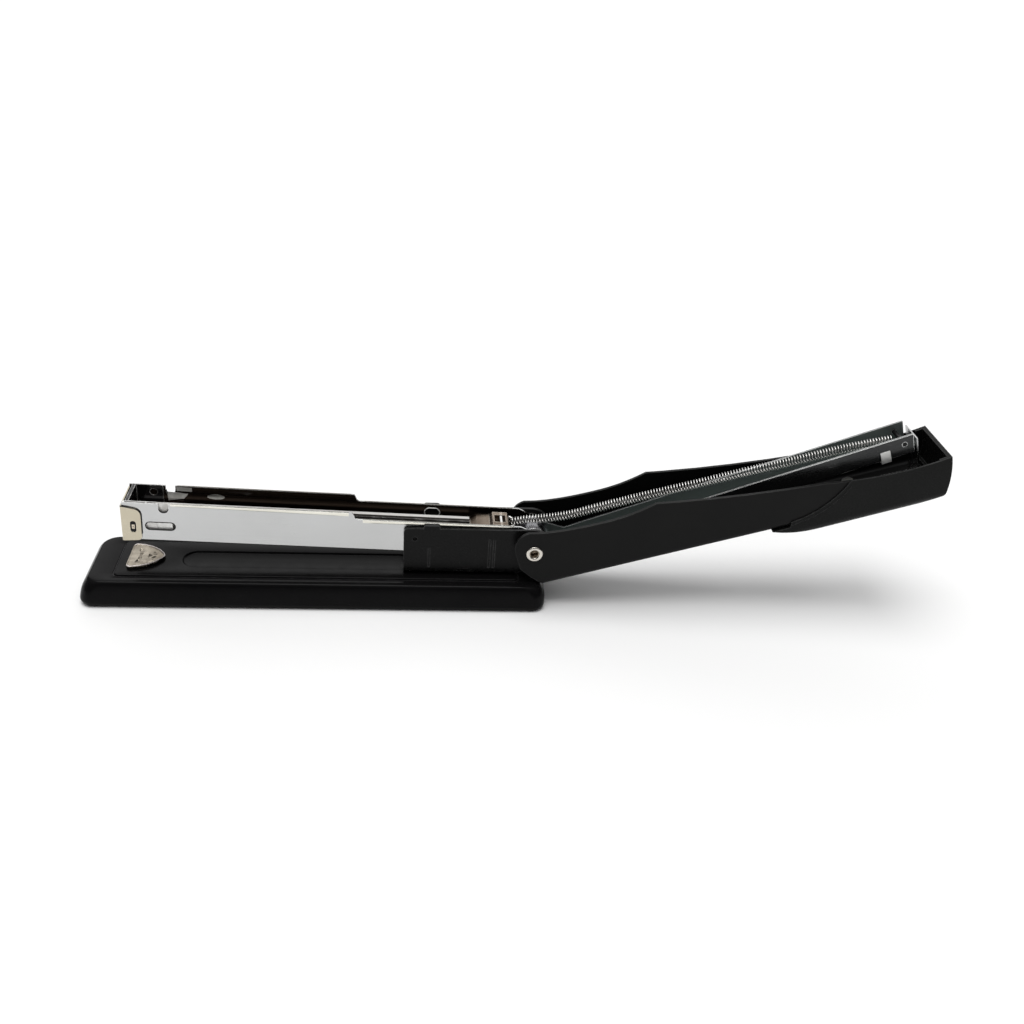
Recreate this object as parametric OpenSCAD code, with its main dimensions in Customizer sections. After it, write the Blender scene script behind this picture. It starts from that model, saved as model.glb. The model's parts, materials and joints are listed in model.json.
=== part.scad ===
// Full-strip desk stapler, swung open for loading.
// Row frame: origin at the centre of the rest face, +X towards the hinge end, +Z up.
// Three local frames share the hinge axis: the magazine, the hold-down channel and the
// handle. In each of them x runs away from the hinge and z is square to the sheet metal.

/* [Base] */
// Length of the base
base_len = 195; // [185:1:205]
// Width of the base at its foot
base_w = 40; // [38:0.5:44]
// Height of the rim around the raised panel
base_h = 11.5; // [11:0.1:11.5]
// Height of the raised panel above the rim
panel_rise = 0.5; // [0.3:0.1:0.5]
// Width of the raised panel
panel_w = 25.8; // [24:0.2:28]
// Wall of the base casting
base_wall = 2; // [1.6:0.1:2.4]

/* [Hinge] */
// Distance from the middle of the base to the hinge axis
hinge_x = 91.6; // [90:0.1:93]
// Height of the hinge axis
hinge_z = 26.1; // [26:0.1:27]
// Outer radius of the hollow hinge rivet
pin_r = 2.6; // [2.4:0.1:2.8]
// Inner radius of the hollow hinge rivet
pin_hole_r = 1.9; // [1.5:0.1:2]
// Radial clearance of the leaves that turn on the rivet
run_gap = 0.05; // [0.03:0.01:0.08]

/* [Magazine] */
// Tilt of the magazine, front end up
mag_tilt = 1.86; // [1.5:0.01:2.2]
// Outer width of the magazine
mag_w = 15.9; // [15.8:0.1:16.2]
// Distance from the hinge to the front of the magazine
mag_len = 170; // [169:0.5:171]
// Depth of the magazine floor below the hinge axis
mag_floor = 4.8; // [4.4:0.1:5]
// Height of the front walls above the hinge axis
mag_top_front = 12.5; // [12:0.1:13]
// Height of the rear walls above the hinge axis
mag_top_rear = 9.4; // [9.2:0.1:10]
// Sheet thickness of the magazine and the rail
sheet = 0.8; // [0.7:0.05:0.9]
// Width of the rail that the staples ride on
rail_w = 10.6; // [10.2:0.1:10.6]
// Height of the rail's top above the hinge axis
rail_top = 5.4; // [5:0.1:5.4]

/* [Handle] */
// Angle of the open handle above level
handle_tilt = 18.02; // [17.8:0.01:19]
// Outer width of the handle shell
handle_w = 27.6; // [27:0.1:28]
// Sheet thickness of the handle shell
handle_wall = 1.3; // [1:0.1:1.3]
// Depth of the shell's web from the hinge axis
handle_depth = 17.05; // [17:0.05:17.5]
// Outer width of the grip cap
cap_w = 28.9; // [28.7:0.1:30]
// Angle between the hold-down channel and the handle
channel_tilt = 3.8; // [3.6:0.1:4]
// Outer width of the hold-down channel
channel_w = 12.8; // [12.4:0.1:12.8]
// Depth of the hold-down channel
channel_depth = 9; // [8:0.5:9.5]
// Width of the driver blade
blade_w = 12.6; // [12.4:0.1:12.8]

/* [Hidden] */
$fn = 64;
eps = 0.01;

panel_z = base_h + panel_rise;
half_len = base_len / 2;
roof_z = base_h - base_wall + 0.1;
bore_r = pin_r + run_gap;

// Base levels: height, front inset, rear inset, side inset, corner radius
base_levels = [[0.5, 0.4, 0.2, 0.1, 5], [3, 0, 0, 0, 5.5], [7, 0.9, 0.2, 0.95, 6],
    [10, 2.6, 1.9, 1.8, 6.5], [base_h, 4.3, 7, 2.7, 6.5]];
panel_front = 13.8;
panel_rear = 12;
groove_front = 39.9;
groove_w = 12.3;
groove_deep = 0.8;
groove_rear = 40;
post_r = 3;
pad_h = 2.4;
pad_inset = 5.5;
pad_half = 17.6;
pad_corner = 3;

anvil_x = -72.2;
anvil_z = panel_z + 0.1;
anvil_h = 1.4;
// Circles that the anvil's outline wraps: distance along, distance across and radius
anvil_lobes = [[-5.4, 7, 2], [-2.7, 6.2, 2.3], [0, 4.75, 2.65], [2.4, 2.6, 3], [4.2, 0, 3.2]];
stud_r = 2.4;
stud_base = 7.2;

bracket_x = 36.4;
bracket_w = 19.2;
bracket_wall = 1.2;
bracket_top = 35;
bracket_rear = 84;
rivet_x = [44, 60, 74];
rivet_r = 2;
leaf_t = 0.7;
// Pressed lines in the bracket's sides: place, middle height and length
stiffeners = [[47.2, 20.6, 9.2], [72.8, 23, 14], [74.8, 23, 14]];

mag_half = mag_w / 2;
mag_inner = mag_half - sheet;
step_x = -75;
notch_x = -153.35;
notch_z = 10.2;
notch_r = 1.95;
lock_x = -165.8;
rail_pin_x = [-140, -90, -40];
rail_pin_z = -1.2;
rail_pin_r = 1.2;
push_pin = [-14, 7.4];
push_pin_r = 0.9;
anchor = [160.8, -7.7];
anchor_r = 1;
coil_r = 2.1;
blade_x = 166.3;
blade_t = 0.6;
blade_tip = 4.33;
channel_half = channel_w / 2;
channel_edge = -4;
channel_end = 165;
web_tilt = 0.9;
blade_rivet_x = [157, 162.5];
blade_rivet_r = 1.5;
leaf_rivet_x = 58;
leaf_rivet_r = 1.6;
screw_x = 140;
screw_y = 8;
screw_r = 1.2;
screw_tip = -20.6;

// ---------- outline helpers ----------

// Points of an arc about centre c
function arc(c, r, a0, a1, n = 16) =
    [for (i = [0:n]) c + r * [cos(a0 + (a1 - a0) * i / n), sin(a0 + (a1 - a0) * i / n)]];

// Points of a quadratic Bezier curve, the first one left out
function bend(p, q, s, n = 10) =
    [for (i = [1:n]) let (t = i / n) (1 - t) * (1 - t) * p + 2 * t * (1 - t) * q + t * t * s];

// A ribbon of thickness t above a curve given as points
function ribbon(c, t) =
    concat(c, [for (i = [len(c) - 1:-1:0]) c[i] + [0, t]]);

// ---------- placing and shape helpers ----------

// The magazine's own frame
module in_magazine() {
    translate([hinge_x, 0, hinge_z]) rotate([0, mag_tilt, 0]) children();
}

// The handle's own frame
module in_handle() {
    translate([hinge_x, 0, hinge_z]) rotate([0, -handle_tilt, 0]) children();
}

// The hold-down channel's own frame
module in_channel() {
    in_handle() rotate([0, -channel_tilt, 0]) children();
}

// The frame in which the web of the handle shell is level
module in_web() {
    in_handle() rotate([0, web_tilt, 0]) children();
}

// A side outline given in x and z, extruded to both sides of the middle plane
module side_plate(points, w) {
    rotate([90, 0, 0]) linear_extrude(height = w, center = true) polygon(points);
}

// A cross-section given in y and z, extruded from x0 to x1
module bar(x0, x1) {
    translate([x0, 0, 0]) rotate([90, 0, 90]) linear_extrude(height = x1 - x0) children();
}

// A block centred on the middle plane
module block(x0, x1, w, z0, z1) {
    translate([x0, -w / 2, z0]) cube([x1 - x0, w, z1 - z0]);
}

// A round bar across the middle plane
module cross_rod(x, z, r, w) {
    translate([x, 0, z]) rotate([90, 0, 0]) cylinder(r = r, h = w, center = true);
}

// The solid inside a U-section with round lower corners
module trough(half, z0, z1, r) {
    translate([-half, z0 + r]) square([2 * half, z1 - z0 - r]);
    translate([r - half, z0]) square([2 * (half - r), r + eps]);
    for (s = [-1, 1]) translate([s * (half - r), z0 + r]) circle(r = r, $fn = 48);
}

// A slot with round ends through both walls, length along x
module side_slot(x, z, length, height, w) {
    for (s = [-1, 1]) cross_rod(x + s * (length - height) / 2, z, height / 2, w);
    block(x - (length - height) / 2, x + (length - height) / 2, w, z - height / 2, z + height / 2);
}

// ---------- base ----------

// One thin level of the base, drawn in by g
module base_level(l, g) {
    r = l[4] - g / 2;
    x0 = l[1] - half_len + g;
    x1 = half_len - l[2] - g;
    w = base_w - 2 * (l[3] + g);
    translate([x0 + r, r - w / 2, l[0]]) linear_extrude(height = eps)
        offset(r = r, $fn = 32) square([x1 - x0 - 2 * r, w - 2 * r]);
}

module base_shell() {
    groove_start = groove_front - half_len + groove_w / 2;
    color([0.15, 0.15, 0.16]) difference() {
        union() {
            difference() {
                hull() for (l = base_levels) base_level(l, 0);
                hull() {
                    translate([0, 0, -1]) base_level(base_levels[0], base_wall);
                    base_level(base_levels[1], base_wall);
                    translate([0, 0, roof_z - base_levels[3][0]])
                        base_level(base_levels[3], base_wall);
                }
            }
            block(panel_front - half_len, half_len - panel_rear, panel_w, roof_z + 1, panel_z);
            for (x = [-82, 82], y = [-12, 12])
                translate([x, y, pad_h]) cylinder(r = post_r, h = roof_z + 1 - pad_h);
        }
        translate([0, 0, panel_z - groove_deep]) linear_extrude(height = 2) {
            translate([groove_start, 0]) circle(d = groove_w);
            translate([groove_start, -groove_w / 2]) square([groove_rear - groove_start, groove_w]);
        }
        translate([anvil_x, 0, roof_z - 1]) cylinder(r = stud_r + run_gap, h = 5);
        for (x = rivet_x) translate([x, 0, roof_z - 1]) cylinder(r = rivet_r, h = 5);
    }
}

module base_pad() {
    color([0.1, 0.1, 0.1])
        linear_extrude(height = pad_h)
            translate([pad_inset + pad_corner - half_len, pad_corner - pad_half])
                offset(r = pad_corner, $fn = 32)
                    square([base_len - 2 * (pad_inset + pad_corner), 2 * (pad_half - pad_corner)]);
}

module hanger_bracket() {
    ear_r = bracket_top - hinge_z;
    outline = concat([[bracket_x, panel_z], [bracket_x, bracket_top - 2]],
        arc([bracket_x + 2, bracket_top - 2], 2, 180, 90, 6),
        arc([hinge_x, hinge_z], ear_r, 90, -90, 24),
        [[bracket_rear, panel_z]]);
    color([0.11, 0.11, 0.11]) difference() {
        union() {
            intersection() {
                side_plate(outline, bracket_w);
                bar(bracket_x, 110) trough(bracket_w / 2, panel_z, 40, 3.6);
            }
            side_plate([[44.6, bracket_top - 1], [44.9, bracket_top + 1.1], [45.6, bracket_top + 1.5],
                [50.8, bracket_top + 1.5], [51.5, bracket_top + 1.1], [51.8, bracket_top - 1]], bracket_w);
        }
        bar(bracket_x - 1, 110) trough(bracket_w / 2 - bracket_wall, panel_z + bracket_wall, 50, 2.4);
        block(bracket_rear, 110, bracket_w - 2 * bracket_wall, panel_z - 1, 40);
        cross_rod(hinge_x, hinge_z, pin_r, 40);
        for (s = [-1, 1]) {
            for (g = stiffeners)
                translate([g[0], s * bracket_w / 2, g[1]]) cube([0.8, 0.7, g[2]], center = true);
            translate([41.1, s * bracket_w / 2, 29.9]) sphere(r = 1, $fn = 24);
        }
        side_slot(62.4, 14.5, 6.5, 1.1, 40);
        for (x = rivet_x) translate([x, 0, 11]) cylinder(r = rivet_r, h = 4);
    }
}

// Two rivets clamp the leaf as well, so their heads sit on it
module bracket_rivets() {
    color([0.6, 0.6, 0.6]) for (i = [0:2]) {
        seat = panel_z + bracket_wall + (i > 0 ? leaf_t : 0);
        translate([rivet_x[i], 0, roof_z]) cylinder(r = rivet_r, h = seat - roof_z);
        translate([rivet_x[i], 0, seat]) cylinder(r1 = 3.4, r2 = 2.4, h = 1);
        translate([rivet_x[i], 0, roof_z - 0.9]) cylinder(r = 3, h = 0.9);
    }
}

module lift_spring() {
    foot_z = panel_z + bracket_wall;
    curve = concat([[78, foot_z], [57, foot_z]],
        bend([57, foot_z], [49, foot_z], [40.5, 21.6], 12), [[38.6, 21.3]]);
    color([0.55, 0.55, 0.57]) difference() {
        side_plate(ribbon(curve, leaf_t), 10);
        for (x = [rivet_x[1], rivet_x[2]]) translate([x, 0, foot_z - 1]) cylinder(r = rivet_r, h = 3);
    }
}

// Hollow rivet with two rolled heads
module hinge_pin() {
    reach = handle_w / 2;
    profile = concat([[pin_hole_r, 0], [pin_r, 0], [pin_r, reach + 0.15], [3.3, reach + 0.15]],
        arc([3.1, reach + 0.45], 0.4, -40, 90, 6),
        arc([pin_hole_r + 0.5, reach + 0.35], 0.5, 90, 180, 6));
    color([0.72, 0.7, 0.66]) translate([hinge_x, 0, hinge_z])
        for (a = [-90, 90]) rotate([a, 0, 0]) rotate_extrude() polygon(profile);
}

module hinge_spacers() {
    inner = bracket_w / 2;
    outer = handle_w / 2 - handle_wall - 0.3;
    color([0.5, 0.5, 0.5]) translate([hinge_x, 0, hinge_z])
        for (a = [-90, 90]) rotate([a, 0, 0]) translate([0, 0, inner]) difference() {
            cylinder(r = 4.4, h = outer - inner);
            translate([0, 0, -1]) cylinder(r = pin_r, h = 6);
        }
}

// Grooved bush that carries the long spring over the hinge
module spring_bush() {
    profile = [[pin_r, -5.3], [7.3, -5.3], [7.3, -3.4], [6.3, -2.6], [6.3, 2.6], [7.3, 3.4],
        [7.3, 5.3], [pin_r, 5.3]];
    color([0.45, 0.45, 0.46]) translate([hinge_x, 0, hinge_z])
        rotate([90, 0, 0]) rotate_extrude() polygon(profile);
}

// Spring washer that holds the anvil down
module anvil_spring() {
    color([0.55, 0.55, 0.57]) translate([anvil_x, 0, roof_z - 1.2]) difference() {
        cylinder(r = 4.8, h = 1.2);
        translate([0, 0, -1]) cylinder(r = 2.8, h = 4);
    }
}

// ---------- anvil ----------

// Shield outline of the anvil, drawn in by g
module anvil_slice(g, z, h) {
    for (p = anvil_lobes, s = [-1, 1])
        translate([anvil_x + p[0], s * p[1], z]) cylinder(r = p[2] - g, h = h, $fn = 32);
}

module anvil_plate() {
    top = anvil_z + anvil_h;
    color([0.55, 0.5, 0.42]) difference() {
        hull() {
            anvil_slice(0, anvil_z, anvil_h - 0.45);
            anvil_slice(0.6, anvil_z, anvil_h);
        }
        for (s = [-1, 1]) {
            translate([anvil_x - 3.1, s * 3.4, top + 0.55]) rotate([90, 0, 0])
                cylinder(r = 1.1, h = 5, center = true);
            translate([anvil_x + 3.1, s * 2.1, top + 0.55]) rotate([90, 0, s * 25])
                cylinder(r = 1.1, h = 2.8, center = true);
        }
    }
}

module anvil_stud() {
    color([0.6, 0.6, 0.6]) translate([anvil_x, 0, stud_base])
        cylinder(r = stud_r, h = anvil_z - stud_base);
}

module anvil_clip() {
    color([0.5, 0.5, 0.5]) translate([anvil_x, 0, stud_base]) difference() {
        cylinder(r = 5, h = 0.8);
        translate([0, 0, -1]) cylinder(r = stud_r, h = 3);
        translate([-8, -1, -1]) cube([8, 2, 3]);
    }
}

// ---------- magazine ----------

module magazine_housing() {
    ear_r = 7.4;
    outline = concat([[-mag_len, -mag_floor], [-mag_len, mag_top_front],
            [step_x - 2.6, mag_top_front]],
        bend([step_x - 2.6, mag_top_front], [step_x - 1.6, mag_top_front],
            [step_x - 0.9, mag_top_rear + 0.8], 5),
        bend([step_x - 0.9, mag_top_rear + 0.8], [step_x - 0.6, mag_top_rear],
            [step_x + 1, mag_top_rear], 4),
        [[-6.2, mag_top_rear]], arc([0, 0], ear_r, 100, -140, 30));
    color([0.78, 0.78, 0.78]) in_magazine() difference() {
        union() {
            side_plate(outline, mag_w);
            for (s = [-1, 1]) translate([lock_x, s * (mag_half + 0.1), 1.4])
                cube([1.5, 0.5, 3.4], center = true);
        }
        block(-mag_len - 1, 20, 2 * mag_inner, sheet - mag_floor, 30);
        block(-mag_len - 1, 1.5 - blade_x, 2 * mag_inner, -10, 0);
        block(-16, 20, 2 * mag_inner, -20, 20);
        block(notch_x - notch_r, notch_x + notch_r, 40, notch_z, 20);
        cross_rod(notch_x, notch_z, notch_r, 40);
        side_slot(-155, 1.85, 12, 3.7, 40);
        side_slot(-43.5, 5.6, 6.6, 4.3, 40);
        cross_rod(0, 0, bore_r, 40);
    }
}

// Inverted channel with a slot along its top for the pusher's tongue
module staple_rail() {
    rail_rear = -10.5;
    color([0.5, 0.48, 0.45]) in_magazine() difference() {
        block(-164.9, rail_rear, rail_w, sheet - mag_floor, rail_top);
        block(-166, 0, rail_w - 2 * sheet, -10, rail_top - sheet);
        block(-163.6, rail_rear - 0.9, 2.7, 0, 10);
        for (x = rail_pin_x) cross_rod(x, rail_pin_z, rail_pin_r, 40);
    }
}

module rail_pins() {
    color([0.6, 0.6, 0.6]) in_magazine()
        for (x = rail_pin_x) cross_rod(x, rail_pin_z, rail_pin_r, 2 * mag_inner);
}

// Dark lining that guides the driver blade down the nose
module nose_guide() {
    color([0.08, 0.08, 0.08]) in_magazine() difference() {
        block(-168.7, -156.2, 2 * mag_inner, -3.2, mag_top_front + 0.3);
        block(-167.2, -150, 13.5, -10, 30);
        cross_rod(-160.2, 9.4, 1.5, 40);
    }
}

// Nose clip wrapped round the front of the magazine
module front_guard() {
    outer = mag_half + 0.6;
    wing = concat([[-mag_len - 0.6, -5.6], [-mag_len - 0.6, 10.9], [-165.2, 10]],
        bend([-165.2, 10], [-162.6, 9.4], [-162.4, 6.8], 8), [[-162.6, -3.4]],
        bend([-162.6, -3.4], [-162.8, -4.9], [-164.2, -5.1], 5));
    color([0.8, 0.77, 0.7]) in_magazine() difference() {
        intersection() {
            side_plate(wing, 2 * outer);
            translate([0, 0, -10]) linear_extrude(height = 30) {
                translate([0.8 - mag_len - 0.6, -outer]) square([20, 2 * outer]);
                translate([-mag_len - 0.6, 0.8 - outer]) square([2, 2 * outer - 1.6]);
                for (s = [-1, 1]) translate([0.2 - mag_len, s * (outer - 0.8)]) circle(r = 0.8, $fn = 32);
            }
        }
        block(-mag_len, -150, mag_w + 0.06, -20, 30);
        for (z = [-0.1, 2.9]) cross_rod(lock_x, z, 1.15, 40);
        block(lock_x - 1.15, lock_x + 1.15, 40, -0.1, 2.9);
    }
}

// ---------- pusher ----------

module pusher() {
    under = rail_top + 0.3;
    body = [[-27.5, under], [-24.6, 7.1], [-19, 7.3], [-17.8, 8.4], [-11.4, 8.4], [-10.4, 7.4], [-10, under]];
    color([0.4, 0.33, 0.25]) in_magazine() difference() {
        union() {
            side_plate(body, 10.4);
            block(-26, -12, 2.1, 3, under);
            block(-26, -12, 8.2, 2.7, rail_top - sheet - 0.3);
        }
        cross_rod(push_pin[0], push_pin[1], push_pin_r, 40);
        block(-17, -12.2, 5.6, 6.3, 20);
    }
}

module pusher_pin() {
    color([0.75, 0.75, 0.75]) in_magazine()
        cross_rod(push_pin[0], push_pin[1], push_pin_r, 10.8);
}

// ---------- hold-down channel ----------

module hold_channel() {
    ear_r = 5.6;
    web = channel_edge - channel_depth;
    outline = concat(arc([0, 0], ear_r, 55, 215, 20),
        [[-2.5, web], [channel_end - 0.7, web], [channel_end, channel_edge], [14, channel_edge]]);
    color([0.36, 0.38, 0.38]) in_channel() difference() {
        intersection() {
            side_plate(outline, channel_w);
            bar(-10, channel_end + 1) trough(channel_half, web, 10, 1.2);
        }
        block(-10, channel_end + 1, channel_w - 2 * sheet, web + sheet, 20);
        cross_rod(0, 0, bore_r, 40);
        cross_rod(anchor[0], anchor[1], anchor_r, 40);
    }
}

// Bright clip that hugs the channel and carries the tip of the return leaf
module channel_clip() {
    web = channel_edge - channel_depth;
    color([0.78, 0.78, 0.78]) in_channel() difference() {
        block(150.2, 154.4, channel_w + 1.2, web - 0.6, -8.2);
        block(150, 155, channel_w, web, 0);
    }
}

module anchor_pin() {
    color([0.7, 0.7, 0.7]) in_channel()
        cross_rod(anchor[0], anchor[1], anchor_r, channel_w + 0.4);
}

// Outer envelope of the long spring, from the anchor over the bush to the pusher
module pusher_spring() {
    h = handle_tilt;
    function from_handle(u, v) = [u * cos(h) - v * sin(h), u * sin(h) + v * cos(h)];
    knee = from_handle(18.5, 6.1);
    path = concat([[-8.6, 7.45], [-4.4, 8.35]], bend([-4.4, 8.35], [-1.4, 9.1], [2.5, 9.35], 4),
        bend([12.6, 10.8], knee, [knee[0] + 6, knee[1] + 1.75], 3), [from_handle(157.5, 3)]);
    color([0.65, 0.65, 0.65]) translate([hinge_x, 0, hinge_z]) sweep_round(path, coil_r);
}

// Round bar swept along a side-view path, with flat ends square to the path
module sweep_round(path, r, sides = 16) {
    n = len(path);
    rings = [for (i = [0:n - 1])
        let (d = path[min(i + 1, n - 1)] - path[max(i - 1, 0)], a = d / norm(d))
        for (k = [0:sides - 1])
            let (w = r * cos(360 * k / sides), y = r * sin(360 * k / sides))
                [path[i][0] - a[1] * w, y, path[i][1] + a[0] * w]];
    walls = [for (i = [0:n - 2], k = [0:sides - 1])
        let (j = (k + 1) % sides, p = i * sides, q = p + sides) [p + k, p + j, q + j, q + k]];
    caps = [[for (k = [sides - 1:-1:0]) k], [for (k = [0:sides - 1]) (n - 1) * sides + k]];
    polyhedron(points = rings, faces = concat(walls, caps));
}

// ---------- handle ----------

// Rim of the handle from the hinge ear to the front end
handle_rim = concat(bend([0.3, 10.4], [12, 6.6], [34, 6.5]), bend([34, 6.5], [44, 6.5], [54.8, 9.3]),
    bend([54.8, 9.3], [90, 1.6], [134, -2.6]), bend([134, -2.6], [158, -6.2], [177.4, -3.5]));
handle_nose = bend([177.4, -3.5], [177.4, -13], [173.9, -21]);

module handle_shell() {
    shell_end = 172;
    half = handle_w / 2;
    rim = [for (p = handle_rim) if (p[0] < 134) p];
    outline = concat(arc([0.3, 2.4], 8, 180, 90, 10), rim,
        bend([134, -3.4], [154, -6.6], [shell_end, -5.6]), [[shell_end, -30], [1, -30], [0.9, -17.2],
        [-1.3, -15], [-4.6, -10.8], [-7.5, -6.2], [-7.7, -5]]);
    color([0.14, 0.14, 0.14]) difference() {
        intersection() {
            in_handle() side_plate(outline, handle_w);
            in_web() bar(-12, 180) trough(half, -handle_depth, 20, 3);
        }
        in_web() {
            bar(-14, 182) trough(half - handle_wall, handle_wall - handle_depth, 30, 1.8);
            for (p = blade_rivet_x) translate([p, 0, -20]) cylinder(r = blade_rivet_r, h = 10);
            translate([leaf_rivet_x, 0, -20]) cylinder(r = leaf_rivet_r, h = 10);
            for (s = [-1, 1]) translate([screw_x, s * screw_y, -20]) cylinder(r = screw_r, h = 10);
        }
        in_handle() cross_rod(0, 0, bore_r, 60);
    }
}

module grip_cap() {
    half = cap_w / 2;
    seam = bend([135.5, -2.7], [124, -14.5], [108.5, -15.9]);
    belly = concat([[107.6, -18.4], [100, -18.5]], bend([100, -18.5], [112, -23.2], [124, -24.1]),
        bend([124, -24.1], [150, -26], [172.6, -22]), [[173.5, -21.6]]);
    outline = concat([[135.5, -2.7]], seam, belly,
        [for (i = [len(handle_nose) - 1:-1:0]) handle_nose[i]],
        [for (i = [len(handle_rim) - 1:-1:0]) if (handle_rim[i][0] > 136) handle_rim[i]]);
    color([0.16, 0.16, 0.16]) difference() {
        in_handle() intersection() {
            side_plate(outline, cap_w);
            bar(95, 180) trough(half, -24.7, 5, 5);
        }
        in_web() {
            bar(60, 172.5) trough(handle_w / 2 + 0.05, -handle_depth - 0.02, 30, 3);
            for (s = [-1, 1]) translate([screw_x, s * screw_y, screw_tip]) cylinder(r = screw_r, h = 10);
        }
        in_handle() side_plate([[170, 0], [175.9, 0], [175.4, -11], [173.6, -16.5], [170, -16.5]], 25.6);
    }
}

module cap_screws() {
    seat = handle_wall - handle_depth;
    color([0.3, 0.3, 0.3]) in_web() for (s = [-1, 1]) translate([screw_x, s * screw_y, 0]) {
        translate([0, 0, screw_tip]) cylinder(r = screw_r, h = seat - screw_tip);
        difference() {
            translate([0, 0, seat]) cylinder(r = 2.4, h = 1.1);
            translate([-3, -0.3, seat + 0.6]) cube([6, 0.6, 1]);
        }
    }
}

module driver_blade() {
    seat = handle_wall - handle_depth;
    color([0.6, 0.6, 0.6]) {
        in_handle() block(blade_x - blade_t / 2, blade_x + blade_t / 2, blade_w, -18, blade_tip);
        in_web() difference() {
            block(153.5, blade_x + 0.3, blade_w, seat, seat + blade_t);
            for (p = blade_rivet_x) translate([p, 0, -20]) cylinder(r = blade_rivet_r, h = 10);
        }
    }
}

module blade_rivets() {
    seat = handle_wall - handle_depth;
    color([0.6, 0.6, 0.6]) in_web() for (p = blade_rivet_x) translate([p, 0, -handle_depth]) {
        cylinder(r = blade_rivet_r, h = handle_wall + blade_t);
        translate([0, 0, handle_wall + blade_t]) cylinder(r1 = 2.6, r2 = 1.8, h = 0.7);
    }
}

// Leaf that pushes the channel away from the handle
module return_leaf() {
    seat = handle_wall - handle_depth;
    curve = concat([[50, seat], [64, seat]], bend([64, seat], [92, seat], [110, -4.9], 12), [[114, -4.9]]);
    color([0.5, 0.5, 0.52]) in_web() difference() {
        side_plate(ribbon(curve, 0.6), 9);
        translate([leaf_rivet_x, 0, -20]) cylinder(r = leaf_rivet_r, h = 10);
    }
}

module leaf_rivet() {
    color([0.6, 0.6, 0.6]) in_web() translate([leaf_rivet_x, 0, -handle_depth]) {
        cylinder(r = leaf_rivet_r, h = handle_wall + 0.6);
        translate([0, 0, handle_wall + 0.6]) cylinder(r1 = 2.8, r2 = 2, h = 0.7);
    }
}

base_shell();
base_pad();
hanger_bracket();
bracket_rivets();
lift_spring();
hinge_pin();
hinge_spacers();
spring_bush();
anvil_spring();
anvil_plate();
anvil_stud();
anvil_clip();
magazine_housing();
staple_rail();
rail_pins();
nose_guide();
front_guard();
pusher();
pusher_pin();
hold_channel();
channel_clip();
anchor_pin();
pusher_spring();
handle_shell();
grip_cap();
cap_screws();
driver_blade();
blade_rivets();
return_leaf();
leaf_rivet();
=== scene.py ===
"""Finished look of a full-strip desk stapler that is swung open for loading.

Lengths are millimetres of the row frame until a mesh is made, where MM turns them into metres.
Each sub-assembly is a class that builds its own pieces and dresses them.
"""

import json
import logging
import math
from dataclasses import dataclass, field, replace
from enum import Enum

import bmesh
import bpy
import numpy as np
from mathutils import Matrix, Vector

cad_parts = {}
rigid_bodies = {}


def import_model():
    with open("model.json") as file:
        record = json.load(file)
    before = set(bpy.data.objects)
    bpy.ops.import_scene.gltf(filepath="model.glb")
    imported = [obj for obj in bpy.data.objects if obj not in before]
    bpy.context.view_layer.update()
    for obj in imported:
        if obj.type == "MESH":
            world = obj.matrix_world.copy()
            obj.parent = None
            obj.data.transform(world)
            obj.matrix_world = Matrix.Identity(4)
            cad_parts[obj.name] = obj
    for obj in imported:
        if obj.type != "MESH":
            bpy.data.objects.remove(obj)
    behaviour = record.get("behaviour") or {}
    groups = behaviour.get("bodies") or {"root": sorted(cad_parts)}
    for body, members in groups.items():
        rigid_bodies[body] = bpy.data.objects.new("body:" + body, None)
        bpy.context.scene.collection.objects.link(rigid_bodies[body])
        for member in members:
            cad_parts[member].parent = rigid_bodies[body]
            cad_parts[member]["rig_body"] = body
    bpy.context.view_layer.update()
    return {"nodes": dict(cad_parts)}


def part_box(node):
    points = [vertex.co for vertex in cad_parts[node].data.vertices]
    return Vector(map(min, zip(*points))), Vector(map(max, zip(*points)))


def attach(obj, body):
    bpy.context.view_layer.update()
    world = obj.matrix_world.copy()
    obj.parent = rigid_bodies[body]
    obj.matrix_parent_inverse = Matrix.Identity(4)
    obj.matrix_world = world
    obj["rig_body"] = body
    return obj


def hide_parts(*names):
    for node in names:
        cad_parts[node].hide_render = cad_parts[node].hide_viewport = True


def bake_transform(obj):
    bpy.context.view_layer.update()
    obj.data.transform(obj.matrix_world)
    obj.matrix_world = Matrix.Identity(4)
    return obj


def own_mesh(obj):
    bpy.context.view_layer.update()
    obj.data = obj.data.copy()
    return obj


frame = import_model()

log = logging.getLogger("stapler")

MM = 0.001
MERGE = 2e-6
ACROSS = np.array([0.0, 1.0, 0.0])
SHARP = math.radians(32)


def middle(node: str) -> np.ndarray:
    """Returns the middle of a CAD node's box in millimetres."""
    low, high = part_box(node)
    return np.array((low + high) / 2) / MM


HINGE = middle("hinge_pin")


# ---------------------------------------------------------------- local frames


@dataclass(frozen=True)
class LocalFrame:
    """Side-view axes at the hinge: u runs away from it and v stands square to the metal.

    Attributes:
        lift: Angle of the u axis above level, in degrees.
    """

    lift: float

    def place(self, u: np.ndarray, y: np.ndarray, v: np.ndarray) -> np.ndarray:
        """Turns local points into row-frame points.

        The hinge is added to u and v turned by the lift angle in the side view.

        Args:
            u: Distances away from the hinge.
            y: Distances across, kept as they are.
            v: Heights square to u.

        Returns:
            Points with their three coordinates along the last axis.
        """
        a = math.radians(self.lift)
        u, y, v = np.broadcast_arrays(*(np.asarray(part, float) for part in (u, y, v)))
        x = HINGE[0] + u * math.cos(a) - v * math.sin(a)
        z = HINGE[2] + u * math.sin(a) + v * math.cos(a)
        return np.stack([x, y, z], -1)


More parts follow.
